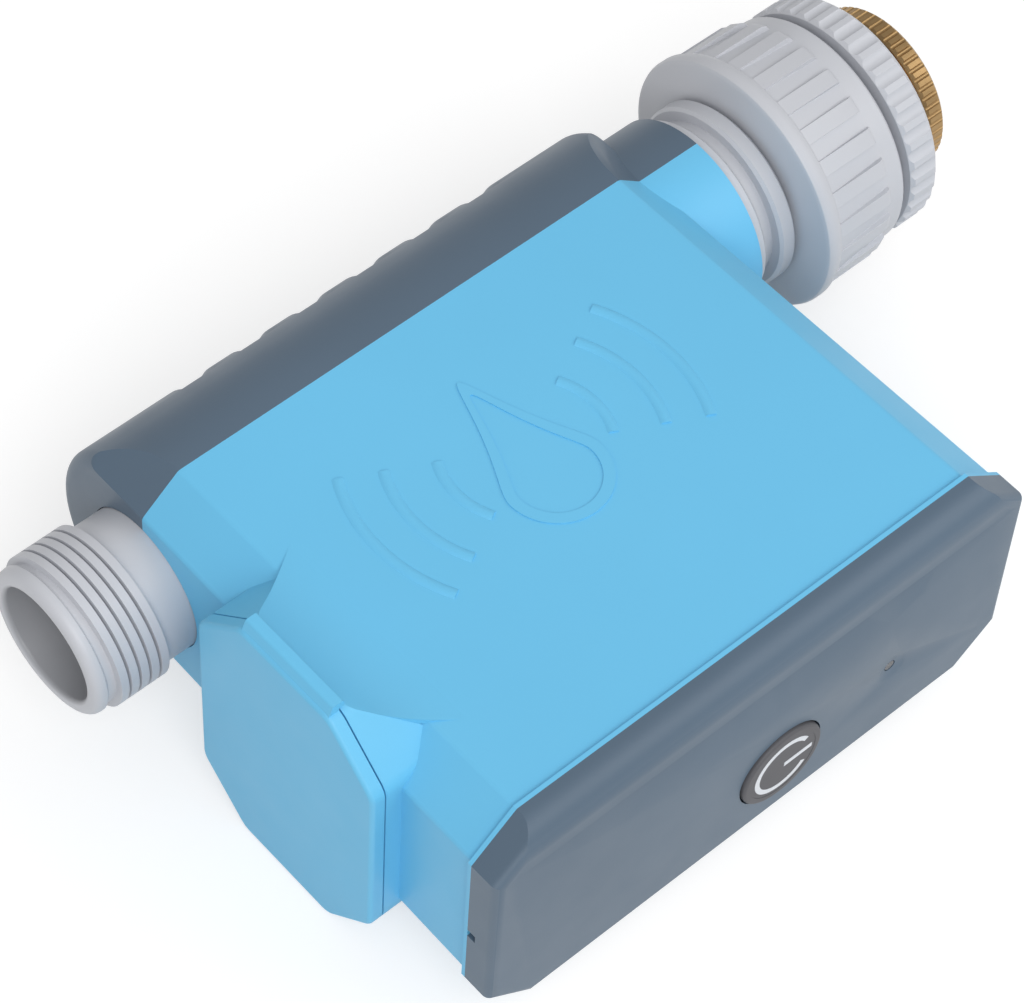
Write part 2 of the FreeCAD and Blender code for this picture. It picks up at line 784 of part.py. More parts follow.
def build_rear_shell():
    body = doc.addObject("PartDesign::Body", "back_blank")
    rod(body, "back", ("housing_middle - rear_half_length", "0", "0"), "housing_rear_half_height",
        "2 * rear_half_length")
    corners = []
    for side in ("-", "+"):
        for up in ("-", "+"):
            flat = f"housing_middle {side} rear_flat_half_length"
            end = f"housing_middle {side} rear_half_length"
            corners.append(
                [
                    (flat, f"0 {up} housing_rear_half_height"),
                    (end, f"0 {up} rear_side_half_height"),
                    (f"{end} {side} wall", f"0 {up} rear_side_half_height"),
                    (f"{end} {side} wall", f"0 {up} (housing_rear_half_height + wall)"),
                    (flat, f"0 {up} (housing_rear_half_height + wall)"),
                ]
            )
    pocket_through(body, sketch(body, "end_slopes", "XZ_Plane", corners))
    round_edges(body, "end_rounds", "2 * shell_edge_radius", is_rear_end_edge)
    neck = primitive_rod("neck_back", ("housing_right - chamfer_length - wall", "0", "0"), "neck_radius",
                         "neck_length + chamfer_length + wall")
    posts, cuts = [], []
    for i, (place, up) in enumerate(shell_screw_places()):
        posts.append(primitive_rod(f"screw_post_{i}", (place, "0", up), "screw_boss_radius",
                                   "screw_post_height", "Y"))
        cuts.append(primitive_rod(f"screw_way_{i}", (place, "-overrun", up), "screw_radius + fit_gap",
                                  "screw_way_length", "Y"))
        cuts.append(primitive_rod(f"screw_seat_{i}", (place, "screw_seat_level", up),
                                  "screw_head_radius + fit_gap", "screw_way_length", "Y"))
    for i in range(int(number("grip_notch_count"))):
        cuts.append(grip_notch(i))
    hollow = primitive_rod("back_hollow", ("housing_middle - rear_flat_half_length + wall / 2", "0", "0"),
                           "housing_rear_half_height - wall", "2 * rear_flat_half_length - wall")
    front_half = primitive_box(
        "front_half",
        ("outlet_mouth", "-2 * neck_radius", "-2 * bay_half_height"),
        ("-outlet_mouth", "2 * neck_radius", "4 * bay_half_height"),
    )
    outside = joined("back_outside", [body, neck])
    walls = cut_from("back_walls", outside, joined("back_core", [hollow] + pipe_openings("back")))
    posted = joined("back_posted", [walls] + posts)
    node(cut_from("rear_shell", posted, joined("back_cuts", cuts + [front_half])), "rear_shell")


def grip_notch(i):
    """A shallow hollow that follows the round back over the angle that a hand grips."""
    half = number("grip_half_angle")
    notch = doc.addObject("Part::Torus", f"grip_notch_{i}")
    notch.Placement = FreeCAD.Placement(
        FreeCAD.Vector(), TURN_ALONG["X"].multiply(FreeCAD.Rotation(FreeCAD.Vector(0, 0, 1), 90 - half))
    )
    set_base(notch, "Placement", (f"-grip_notch_first + {i} * grip_notch_pitch", "0", "0"))
    bind(
        notch,
        Radius1="housing_rear_half_height + grip_notch_radius - grip_notch_depth",
        Radius2="grip_notch_radius",
        Angle3="2 * grip_half_angle",
    )
    return notch


def is_rear_end_edge(edge):
    middle = middle_of(edge)
    at_end = abs(abs(middle.x - number("housing_middle")) - number("rear_half_length")) < NEAR
    return at_end and is_round(edge)


def is_round(edge):
    return edge.Curve.TypeId == "Part::GeomCircle"


# Control panel and its keys
def build_control_panel():
    body = doc.addObject("PartDesign::Body", "panel_blank")
    face = octagon("lip_half_length", "lip_flat_half_length", "lip_half_height", "lip_side_half_height")
    pad(body, sketch(body, "panel_outline", "XZ_Plane", [face], offset="-panel_back"), "panel_depth")
    round_edges(body, "panel_front_edges", "panel_edge_radius", is_small_panel_edge)
    skirt = octagon(
        "skirt_half_length", "skirt_flat_half_length", "skirt_half_height", "skirt_side_half_height"
    )
    pad(body, sketch(body, "skirt_outline", "XZ_Plane", [skirt], offset="-panel_back"), "panel_skirt",
        flip=True)
    inside = octagon(
        "skirt_half_length - panel_wall",
        "skirt_flat_half_length - panel_wall / 2",
        "skirt_half_height - panel_wall",
        "skirt_side_half_height - panel_wall / 2",
    )
    hollow = body.newObject("PartDesign::Pocket", "panel_hollow")
    hollow.Profile = sketch(body, "panel_inside", "XZ_Plane", [inside], offset="-panel_inside")
    bind(hollow, Length="panel_depth + panel_skirt")
    standoffs, cuts = [], []
    for i, (across, up) in enumerate(board_screw_places()):
        standoffs.append(primitive_rod(f"standoff_{i}", (across, "panel_inside - standoff_sunk", up),
                                       "standoff_radius", "board_face - panel_inside + standoff_sunk", "Y"))
        cuts.append(primitive_rod(f"standoff_pilot_{i}", (across, "board_face + overrun", up), "screw_radius",
                                  "board_pilot_depth", "-Y"))
    for name, place, up, radius in (
        ("button_hole", "button_x", "button_z", "button_hole_radius"),
        ("lamp_hole", "lamp_x", "lamp_z", "lamp_radius + fit_gap"),
    ):
        cuts.append(primitive_rod(name, (place, "panel_inside + overrun", up), radius,
                                  "2 * panel_front_wall", "-Y"))
    cuts.append(primitive_rod("button_room", ("button_x", "button_back + button_travel_space", "button_z"),
                              "button_flange_radius + slide_gap",
                              "button_back + button_travel_space - panel_inside", "-Y"))
    dimple = doc.addObject("Part::Sphere", "lamp_dimple")
    set_base(dimple, "Placement", ("lamp_x", "panel_face - dimple_radius + dimple_depth", "lamp_z"))
    bind(dimple, Radius="dimple_radius")
    notch = primitive_box(
        "pry_notch",
        ("housing_middle - lip_half_length - notch_depth", "panel_back - notch_width", "-notch_drop"),
        ("2 * notch_depth", "2 * notch_width", "notch_width"),
    )
    cut_scoop(body)
    walls = joined("panel_walls", [body] + standoffs)
    tools = cuts + [dimple, notch, top_rounding()]
    node(cut_from("control_panel", walls, joined("panel_cuts", tools)), "control_panel")


def is_small_panel_edge(edge):
    """All edges of the front face but the top one, which is rounded more."""
    middle = middle_of(edge)
    return abs(middle.y - number("panel_face")) < NEAR and middle.z < number("lip_half_height") - NEAR


def top_rounding():
    """What the large rounding takes off the panel's top front edge."""
    length = "2 * lip_half_length + 2 * wall"
    start = "housing_middle - lip_half_length - wall"
    corner = primitive_box(
        "top_corner",
        (start, "panel_face - overrun", "lip_half_height - panel_top_radius"),
        (length, "panel_top_radius + overrun", "panel_top_radius + overrun"),
    )
    round_bar = primitive_rod(
        "top_round", (start, "panel_face + panel_top_radius", "lip_half_height - panel_top_radius"),
        "panel_top_radius", length
    )
    return cut_from("top_rounding", corner, round_bar)


def board_screw_places():
    for side in ("-", "+"):
        for up in ("-", "+"):
            yield f"housing_middle {side} board_screw_reach", f"0 {up} board_screw_height"


def cut_scoop(body):
    """The shallow scoop under the top edge, cut by a very wide cone that bites into the face."""
    slope = "(scoop_high - scoop_low) / scoop_depth"
    drawing = sketch(
        body,
        "scoop_profile",
        "YZ_Plane",
        [
            [
                ("scoop_radius + scoop_depth", "scoop_high"),
                ("scoop_radius - overrun", "scoop_high"),
                ("scoop_radius - overrun", f"scoop_low - {slope} * overrun"),
            ]
        ],
        offset="housing_middle",
    )
    bind(drawing, AttachmentOffset__Base__x="panel_face - scoop_radius")
    groove = body.newObject("PartDesign::Groove", "scoop")
    groove.Profile = drawing
    groove.ReferenceAxis = (drawing, ["V_Axis"])
    groove.Midplane = True
    bind(groove, Angle="scoop_angle")


def build_panel_seal():
    body = new_body("panel_seal")
    gap = "fit_gap"
    outer = octagon(
        f"skirt_half_length - panel_wall - {gap}",
        f"skirt_flat_half_length - panel_wall / 2 - {gap}",
        f"skirt_half_height - panel_wall - {gap}",
        f"skirt_side_half_height - panel_wall / 2 - {gap}",
    )
    inner = octagon(
        "skirt_half_length - panel_wall - seal_thickness",
        "skirt_flat_half_length - panel_wall / 2 - seal_thickness / 2",
        "skirt_half_height - panel_wall - seal_thickness",
        "skirt_side_half_height - panel_wall / 2 - seal_thickness / 2",
    )
    level = "-panel_back - panel_skirt + seal_thickness / 2"
    pad(body, sketch(body, "seal_outline", "XZ_Plane", [outer, inner], offset=level), "seal_thickness")


def build_light_pipe():
    body = new_body("light_pipe")
    rod(body, "pipe", ("lamp_x", "board_face - lamp_chip_size / 2 - fit_gap", "lamp_z"), "lamp_radius",
        "board_face - lamp_chip_size / 2 - fit_gap - panel_face - dimple_depth", "-Y")
    rod(body, "collar", ("lamp_x", "panel_inside + light_collar_width", "lamp_z"), "2 * lamp_radius",
        "light_collar_width", "-Y")


def build_power_button():
    body = new_body("power_button")
    rod(body, "cap", ("button_x", "button_back", "button_z"), "button_radius", "button_height", "-Y")
    round_edges(body, "cap_edge", "button_edge_radius", lies_on_button_face)
    rod(body, "flange", ("button_x", "button_back", "button_z"), "button_flange_radius",
        "button_back - panel_inside - running_gap", "-Y")
    rod(body, "stem", ("button_x", "plunger_end", "button_z"), "button_stem_radius",
        "plunger_end - button_back", "-Y")
    disc = ("button_x", "button_z", "symbol_radius")
    drawing = sketch(body, "symbol_seat", "XZ_Plane", circles=[disc], offset="-button_face - symbol_depth")
    seat = body.newObject("PartDesign::Pocket", "symbol_recess")
    seat.Profile = drawing
    seat.Reversed = True
    bind(seat, Length="2 * symbol_depth")


def lies_on_button_face(edge):
    return abs(middle_of(edge).y - number("button_face")) < NEAR


def build_power_symbol():
    """The plain disc set into the button, which carries the printed power symbol."""
    body = new_body("power_symbol")
    disc = ("button_x", "button_z", "symbol_radius - symbol_gap")
    drawing = sketch(body, "disc", "XZ_Plane", circles=[disc], offset="-button_face - symbol_depth")
    pad(body, drawing, "symbol_depth")


# Circuit board and the parts on it
def build_circuit_board():
    body = new_body("circuit_board")
    outline = [
        ("housing_middle + board_half_length", "-board_half_height + chamfer_drop"),
        ("housing_middle + board_half_length", "board_half_height - chamfer_drop"),
        ("housing_middle + board_half_length - chamfer_drop", "board_half_height"),
        ("housing_middle - board_half_length + chamfer_drop", "board_half_height"),
        ("housing_middle - board_half_length", "board_half_height - chamfer_drop"),
        ("housing_middle - board_half_length", "-board_half_height + chamfer_drop"),
        ("housing_middle - board_half_length + chamfer_drop", "-board_half_height"),
        ("housing_middle + board_half_length - chamfer_drop", "-board_half_height"),
    ]
    holes = [(across, up, "screw_radius + fit_gap") for across, up in board_screw_places()]
    pad(body, sketch(body, "board_outline", "XZ_Plane", [outline], holes, offset="-board_back"),
        "board_thickness")


def build_tact_switch():
    body = new_body("tact_switch")
    half = "switch_size / 2"
    block(body, "case", (f"button_x - {half}", f"board_face - {half}", f"button_z - {half}"),
          ("switch_size", half, "switch_size"))
    rod(body, "plunger", ("button_x", f"board_face - {half}", "button_z"), "switch_plunger_radius",
        "switch_plunger", "-Y")


def build_status_lamp():
    body = new_body("status_lamp")
    block(body, "chip", ("lamp_x - lamp_chip_size / 2", "board_face - lamp_chip_size / 2",
                         "lamp_z - lamp_chip_size / 2"),
          ("lamp_chip_size", "lamp_chip_size / 2", "lamp_chip_size"))


def build_radio_module():
    body = new_body("radio_module")
    block(body, "shield", ("housing_left + radio_place", "board_face - radio_thickness", "-radio_height / 2"),
          ("radio_length", "radio_thickness", "radio_height"))
    round_edges(body, "shield_corners", "radio_corner_radius", runs_along_depth)


def build_board_screws():
    solids = []
    for i, (across, up) in enumerate(board_screw_places()):
        solids.append(primitive_rod(f"board_screw_shank_{i}", (across, "board_back", up), "screw_radius",
                                    "board_thickness + board_screw_bite", "-Y"))
        solids.append(primitive_rod(f"board_screw_head_{i}", (across, "board_back + screw_head_height", up),
                                    "screw_head_radius", "screw_head_height", "-Y"))
    screws_of(solids, "board_screws")


def primitive_rod(name, start, radius, length, along="X"):
    """A loose round bar from the middle of its first end."""
    rod_object = doc.addObject("Part::Cylinder", name)
    rod_object.Placement = FreeCAD.Placement(FreeCAD.Vector(), TURN_ALONG[along])
    set_base(rod_object, "Placement", start)
    bind(rod_object, Radius=radius, Height=length)
    return rod_object


def primitive_box(name, low, size):
    box = doc.addObject("Part::Box", name)
    set_base(box, "Placement", low)
    bind(box, Length=size[0], Width=size[1], Height=size[2])
    return box


def joined(name, shapes):
    item = doc.addObject("Part::MultiFuse", name)
    item.Shapes = shapes
    item.Refine = True
    return item


def cut_from(name, base, tool):
    item = doc.addObject("Part::Cut", name)
    item.Base = base
    item.Tool = tool
    return item


def screws_of(solids, label):
    """One sub-part holding a set of equal screws, each fused from a shank and a head."""
    pairs = [joined(f"{label}_{i // 2}", solids[i : i + 2]) for i in range(0, len(solids), 2)]
    group = doc.addObject("Part::Compound", label)
    group.Links = pairs
    return node(group, label)


def build_shell_screws():
    solids = []
    for i, (place, up) in enumerate(shell_screw_places()):
        solids.append(primitive_rod(f"shell_screw_shank_{i}", (place, "screw_seat_level", up), "screw_radius",
                                    "shell_screw_length", "-Y"))
        solids.append(primitive_rod(f"shell_screw_head_{i}",
                                    (place, "screw_seat_level + screw_head_height", up),
                                    "screw_head_radius", "screw_head_height", "-Y"))
    screws_of(solids, "shell_screws")


# Waterway: outlet, valve chamber and inlet spigot
def threaded(label, blank, ridge, cut=False):
    """Add a helical ridge to a turned blank, or cut it into the blank as a groove."""
    doc.recompute()
    shape = blank.Shape.cut(ridge) if cut else blank.Shape.fuse(ridge)
    if abs(shape.Volume - blank.Shape.Volume) < LEAST_THREAD_SHARE * ridge.Volume:
        raise RuntimeError(f"{label} has lost its thread")
    item = doc.addObject("Part::Feature", label)
    item.Shape = shape
    return node(item, label)


def outlet_ridge():
    """The outlet's thread, whose crest is turned down to a true cylinder."""
    trim = number("thread_trim")
    crest_radius = number("outlet_thread_radius")
    start_share = number("thread_foot_share") + number("thread_start_share")
    ridge = helical_ridge(
        number("outlet_root_radius"),
        number("outlet_thread_depth") + trim,
        number("outlet_thread_turns"),
        number("outlet_lip_start") + start_share * number("thread_pitch"),
        number("thread_foot_share"),
        number("thread_crest_share"),
    )
    start = FreeCAD.Vector(number("outlet_mouth"), 0, 0)
    length = 2 * number("outlet_thread_length")
    return ridge.common(Part.makeCylinder(crest_radius, length, start, FreeCAD.Vector(1, 0, 0)))


def inlet_groove():
    """The thread in the inlet's bore."""
    return helical_ridge(
        number("inlet_bore_radius"),
        number("inlet_thread_depth"),
        number("inlet_thread_turns"),
        -number("inlet_bore_depth") + number("thread_pitch"),
        number("groove_foot_share"),
        number("groove_crest_share"),
    )


def lip_rounds():
    """The section of the outlet's mouth, rounded from the bore over the rim to the outside."""
    corners = []
    for step in range(ROUND_STEPS + 1):
        turn = math.pi / 2 * step / ROUND_STEPS
        corners.append(
            (
                f"outlet_mouth + {1 - math.sin(turn):.4f} * outlet_edge_rounding",
                f"outlet_bore_radius + {1 - math.cos(turn):.4f} * outlet_edge_rounding",
            )
        )
    for step in range(ROUND_STEPS + 1):
        turn = math.pi / 2 * step / ROUND_STEPS
        corners.append(
            (
                f"outlet_mouth + {1 - math.cos(turn):.4f} * outlet_lip_rounding",
                f"outlet_lip_radius - {1 - math.sin(turn):.4f} * outlet_lip_rounding",
            )
        )
    return corners


def build_valve_body():
    blank = doc.addObject("PartDesign::Body", "valve_body_blank")
    corners = [
        *lip_rounds(),
        ("outlet_lip_start - outlet_lip_back_rounding", "outlet_lip_radius"),
        ("outlet_lip_start", "outlet_lip_radius - outlet_lip_back_rounding"),
        ("outlet_lip_start", "outlet_root_radius"),
        ("chamber_left - chamber_flare", "pipe_radius"),
        ("chamber_left", "chamber_radius"),
        ("chamber_end", "chamber_radius"),
        ("chamber_end", "chamber_bore_radius"),
        ("chamber_left", "chamber_bore_radius"),
        ("chamber_left", "outlet_throat_radius"),
        ("chamber_left - outlet_throat_length", "outlet_bore_radius"),
    ]
    revolve(blank, sketch(blank, "waterway_profile", "XY_Plane", [corners]))
    rod(blank, "stem_boss", ("valve_middle", "-chamber_bore_radius - overrun", "0"), "stem_boss_radius",
        "stem_boss_height + chamber_radius - chamber_bore_radius - overrun", "-Y")
    rod(blank, "stem_bore", ("valve_middle", "-overrun", "0"), "stem_radius + running_gap",
        "2 * chamber_radius", "-Y", cut=True)
    rod(blank, "chamber_clear", ("chamber_left", "0", "0"), "chamber_bore_radius",
        "chamber_end - chamber_left", cut=True)
    for i in range(int(number("stem_ring_count"))):
        groove = f"-chamber_radius - {i} * stem_ring_pitch"
        rod(blank, f"ring_groove_{i}", ("valve_middle", groove, "0"), "stem_radius + 2 * stem_ring_section",
            "2 * stem_ring_section", "-Y", cut=True)
    threaded("valve_body", blank, outlet_ridge())


def build_stem_seals():
    rings = []
    for i in range(int(number("stem_ring_count"))):
        ring = doc.addObject("Part::Torus", f"stem_ring_{i}")
        ring.Placement = FreeCAD.Placement(FreeCAD.Vector(), TURN_ALONG["Y"])
        level = f"-chamber_radius - {i} * stem_ring_pitch - stem_ring_section"
        set_base(ring, "Placement", ("valve_middle", level, "0"))
        bind(ring, Radius1="stem_radius + running_gap + stem_ring_gap + stem_ring_bar_radius",
             Radius2="stem_ring_bar_radius")
        rings.append(ring)
    group = doc.addObject("Part::Compound", "stem_seals")
    group.Links = rings
    node(group, "stem_seals")


def build_valve_seats():
    seats = []
    for side, start in (("outlet", "chamber_left"), ("inlet", "chamber_right - seat_thickness")):
        ring = primitive_rod(f"{side}_seat_ring", (start, "0", "0"), "chamber_bore_radius - fit_gap",
                             "seat_thickness")
        way = primitive_rod(f"{side}_seat_way", (f"{start} - overrun", "0", "0"), "seat_bore_radius",
                            "seat_thickness + 2 * overrun")
        pocket = doc.addObject("Part::Sphere", f"{side}_seat_pocket")
        set_base(pocket, "Placement", ("valve_middle", "0", "0"))
        bind(pocket, Radius="ball_radius + running_gap")
        tool = joined(f"{side}_seat_tool", [way, pocket])
        seats.append(cut_from(f"{side}_seat", ring, tool))
    group = doc.addObject("Part::Compound", "valve_seats")
    group.Links = seats
    node(group, "valve_seats")


def build_inlet_spigot():
    turned(
        "inlet_spigot",
        [
            ("chamber_right", "spigot_bore_radius"),
            ("chamber_right", "chamber_bore_radius - fit_gap"),
            ("chamber_end + fit_gap", "chamber_bore_radius - fit_gap"),
            ("chamber_end + fit_gap", "spigot_sleeve_radius"),
            ("neck_end + fit_gap", "spigot_sleeve_radius"),
            ("neck_end + fit_gap", "first_ring_radius"),
            ("first_ring_face - spigot_edge", "first_ring_radius"),
            ("first_ring_face", "first_ring_radius - spigot_edge"),
            ("first_ring_face", "ring_groove_radius"),
            ("ring_groove_face", "ring_groove_radius"),
            ("ring_groove_face", "flange_ring_radius - spigot_edge"),
            ("ring_groove_face + spigot_edge", "flange_ring_radius"),
            ("flange_ring_face - spigot_edge", "flange_ring_radius"),
            ("flange_ring_face", "flange_ring_radius - spigot_edge"),
            ("flange_ring_face", "spigot_tube_radius"),
            ("spigot_tail_back", "spigot_tube_radius"),
            ("spigot_tail_back", "spigot_tail_flange_radius"),
            ("spigot_tail", "spigot_tail_flange_radius"),
            ("spigot_tail", "strainer_seat_radius"),
            ("spigot_tail - strainer_seat_depth", "strainer_seat_radius"),
            ("spigot_tail - strainer_seat_depth", "spigot_bore_radius"),
        ],
    )


# Screwed inlet train
def ring_seal(label, face, inner, outer, thickness):
    return turned(
        label,
        [
            (face, inner),
            (face, outer),
            (f"{face} - ({thickness})", outer),
            (f"{face} - ({thickness})", inner),
        ],
    )


def build_inlet_strainer():
    body = ring_seal("inlet_strainer", "spigot_tail", "reducer_waterway_radius - strainer_rim",
                     "strainer_seat_radius - fit_gap", "strainer_seat_depth")
    bars = int(number("strainer_bars"))
    length = "2 * (reducer_waterway_radius - strainer_bar_inset)"
    for i in range(bars):
        middle = f"({i} - (strainer_bars - 1) / 2) * 2 * reducer_waterway_radius / strainer_bars"
        low = "spigot_tail - strainer_seat_depth"
        width = "strainer_bar_width"
        block(body, f"upright_{i}", (low, f"{middle} - {width} / 2", f"-({length}) / 2"),
              ("strainer_bar_depth", width, length))
        block(body, f"level_{i}",
              (f"{low} + strainer_bar_step", f"-({length}) / 2", f"{middle} - {width} / 2"),
              ("strainer_bar_depth", length, width))
    keep = doc.addObject("Part::Common", "strainer_trim")
    keep.Base = body
    keep.Tool = primitive_rod("strainer_limit", ("spigot_tail - strainer_seat_depth", "0", "0"),
                              "strainer_seat_radius - fit_gap", "strainer_seat_depth")
    nodes.remove(body)
    body.Label = "strainer_blank"
    node(keep, "inlet_strainer")


def build_swivel_nut():
    body = turned(
        "swivel_nut",
        [
            ("nut_face", "spigot_tube_radius + running_gap"),
            ("nut_face", "nut_ring_radius - nut_ring_edge"),
            ("nut_face + nut_ring_round_along", "nut_ring_radius - nut_ring_round_drop"),
            ("nut_face + nut_ring_edge", "nut_ring_radius"),
            ("nut_face + nut_ring_length - nut_ring_slope_length", "nut_ring_radius"),
            ("nut_face + nut_ring_length - nut_ring_step", "nut_ring_radius - nut_ring_slope_drop"),
            ("nut_face + nut_ring_length", "nut_body_radius"),
            ("nut_open_end - nut_hem_length", "nut_far_radius"),
            ("nut_open_end - nut_edge_length", "nut_far_radius - nut_hem_drop"),
            ("nut_open_end", "nut_far_radius - nut_edge_drop"),
            ("nut_open_end", "nut_bore_radius"),
            ("nut_wall_inside", "nut_bore_radius"),
            ("nut_wall_inside", "spigot_tube_radius + running_gap"),
        ],
    )
    rib = sketch(
        body,
        "rib_side",
        "XY_Plane",
        [
            [
                ("nut_rib_near_end", "nut_far_radius - overrun"),
                ("nut_rib_near_end", "nut_body_radius + nut_rib_near_share * nut_rib_height"),
                ("nut_rib_far_end - nut_rib_tip_length", "nut_far_radius + nut_rib_height + nut_rib_crown"),
                ("nut_rib_far_end - nut_rib_nose_length",
                 "nut_far_radius + nut_rib_nose_share * nut_rib_height"),
                ("nut_rib_far_end", "nut_far_radius"),
                ("nut_rib_far_end", "nut_far_radius - overrun"),
            ]
        ],
    )
    feature = pad(body, rib, "nut_rib_width")
    feature.Midplane = True
    ring_pattern(body, feature, "X_Axis", "nut_rib_count")


def build_plastic_reducer():
    body = turned(
        "plastic_reducer",
        [
            ("reducer_plug_end", "reducer_waterway_radius"),
            ("reducer_plug_end", "reducer_plug_radius - reducer_plug_edge"),
            ("reducer_plug_end + reducer_plug_edge", "reducer_plug_radius"),
            ("reducer_flange_end", "reducer_plug_radius"),
            ("reducer_flange_end", "reducer_flange_radius - reducer_back_edge"),
            ("reducer_flange_end + reducer_back_edge", "reducer_flange_radius"),
            ("reducer_face - reducer_front_edge", "reducer_flange_radius"),
            ("reducer_face", "reducer_flange_radius - reducer_front_edge"),
            ("reducer_face", "brass_plug_radius + running_gap"),
            ("reducer_socket_end", "brass_plug_radius + running_gap"),
            ("reducer_socket_end", "reducer_waterway_radius"),
        ],
    )
    start = ("reducer_flange_end - overrun", "0", "reducer_flange_radius + scallop_lift")
    scallop = rod(body, "scallop", start, "scallop_radius", "reducer_flange_thickness + 2 * overrun",
                  cut=True)
    ring_pattern(body, scallop, "X_Axis", "reducer_scallop_count")


def build_brass_reducer():
    body = turned_blank(
        "brass_blank",
        [
            ("0", "inlet_bore_radius"),
            ("0", "brass_flange_radius - brass_flange_edge"),
            ("-brass_flange_edge", "brass_flange_radius"),
            ("shoulder_face + brass_flange_edge", "brass_flange_radius"),
            ("shoulder_face", "brass_flange_radius - brass_flange_edge"),
            ("shoulder_face", "brass_shoulder_radius"),
            ("reducer_face + brass_seat_play", "brass_shoulder_radius"),
            ("reducer_face + brass_seat_play", "brass_plug_radius"),
            ("brass_plug_end + brass_plug_edge", "brass_plug_radius"),
            ("brass_plug_end", "brass_plug_radius - brass_plug_edge"),
            ("brass_plug_end", "brass_waterway_radius"),
            ("-inlet_bore_depth - brass_bore_slope", "brass_waterway_radius"),
            ("-inlet_bore_depth", "inlet_bore_radius"),
        ],
    )
    start = ("shoulder_face - knurl_overrun", "0", "brass_flange_radius + knurl_lift")
    notch = rod(body, "knurl_notch", start, "knurl_radius", "brass_flange_thickness + 2 * knurl_overrun",
                cut=True)
    ring_pattern(body, notch, "X_Axis", "brass_notch_count")
    threaded("brass_reducer", body, inlet_groove(), cut=True)


def turned_blank(name, corners):
    body = doc.addObject("PartDesign::Body", name)
    revolve(body, sketch(body, name + "_profile", "XY_Plane", [corners]))
    return body


# Ball valve and its gear train
def build_valve_ball():
    ball = doc.addObject("Part::Sphere", "ball_blank")
    set_base(ball, "Placement", ("valve_middle", "0", "0"))
    bind(ball, Radius="ball_radius")
    way = primitive_rod("ball_way", ("valve_middle - 2 * ball_radius", "0", "0"), "waterway_radius",
                        "4 * ball_radius")
    slot = primitive_box(
        "ball_slot",
        ("valve_middle - 2 * stem_radius", "-2 * ball_radius", "-stem_tongue_width / 2"),
        ("4 * stem_radius", "ball_radius + stem_tongue_depth", "stem_tongue_width"),
    )
    node(cut_from("valve_ball", ball, joined("ball_tools", [way, slot])), "valve_ball")


def build_valve_stem():
    body = new_body("valve_stem")
    rod(body, "shaft", ("valve_middle", "-ball_radius - fit_gap", "0"), "stem_radius",
        "-first_gear_level - ball_radius - fit_gap", "-Y")
    rod(body, "drive_end", ("valve_middle", "first_gear_level + overrun", "0"), "drive_end_radius",
        "gear_width + overrun", "-Y")
    block(
        body,
        "tongue",
        ("valve_middle - stem_radius + stem_tongue_inset", "-ball_radius - fit_gap - stem_tongue_sunk",
         "-stem_tongue_width / 2 + slot_gap"),
        ("2 * stem_radius - 2 * stem_tongue_inset", "stem_tongue_depth + fit_gap",
         "stem_tongue_width - 2 * slot_gap"),
    )


def gear(label, x, z, stages, bore):
    """A spur gear with one or two sets of teeth, on an axis along Y.

    Each stage is (top level, module, tooth count, direction of the tooth on the line of centres).
    """
    body = new_body(label, (x, "0", z))
    for i, (level, module, teeth, phase) in enumerate(stages):
        offset = f"-({level})"
        root = f"{module} * ({teeth} / 2 - tooth_root)"
        tip = f"{module} * ({teeth} / 2 + tooth_tip)"
        disc = sketch(body, f"disc_{i}", "XZ_Plane", circles=[("0", "0", root), ("0", "0", bore)],
                      offset=offset)
        pad(body, disc, "gear_width")
        foot = f"90 * tooth_share / {teeth} * tooth_foot"
        head = f"90 * tooth_share / {teeth} * tooth_head"
        inner = f"({root} - gear_tooth_sunk)"
        tooth = sketch(
            body,
            f"tooth_{i}",
            "XZ_Plane",
            [
                [
                    (f"{inner} * cos({phase} - {foot})", f"{inner} * sin({phase} - {foot})"),
                    (f"{tip} * cos({phase} - {head})", f"{tip} * sin({phase} - {head})"),
                    (f"{tip} * cos({phase} + {head})", f"{tip} * sin({phase} + {head})"),
                    (f"{inner} * cos({phase} + {foot})", f"{inner} * sin({phase} + {foot})"),
                ]
            ],
            offset=offset,
        )
        ring_pattern(body, pad(body, tooth, "gear_width"), "Y_Axis", teeth)
    return body


def build_gears():
    gear(
        "output_gear",
        "valve_middle",
        "0",
        [("first_gear_level", "gear_module", "large_gear_teeth", "first_idler_angle")],
        "drive_end_radius",
    )
    gear(
        "first_idler",
        "first_idler_x",
        "first_idler_z",
        [
            ("first_gear_level", "gear_module", "small_gear_teeth",
             "(first_idler_angle + 180 + 180 / small_gear_teeth)"),
            ("second_gear_level", "fine_gear_module", "large_gear_teeth", "second_idler_angle"),
        ],
        "axle_radius + gear_bearing_clearance",
    )
    collar("first_idler", "first_gear_level", "small_gear_teeth", "gear_module")
    gear(
        "second_idler",
        "second_idler_x",
        "second_idler_z",
        [
            ("second_gear_level", "fine_gear_module", "small_gear_teeth",
             "(second_idler_angle + 180 + 180 / small_gear_teeth)"),
            ("third_gear_level", "fine_gear_module", "large_gear_teeth", "pinion_angle"),
        ],
        "axle_radius + gear_bearing_clearance",
    )
    collar("second_idler", "second_gear_level", "small_gear_teeth", "fine_gear_module")
    gear(
        "motor_pinion",
        "pinion_x",
        "pinion_z",
        [
            ("third_gear_level", "fine_gear_module", "small_gear_teeth",
             "(pinion_angle + 180 + 180 / small_gear_teeth)")
        ],
        "motor_shaft_radius",
    )


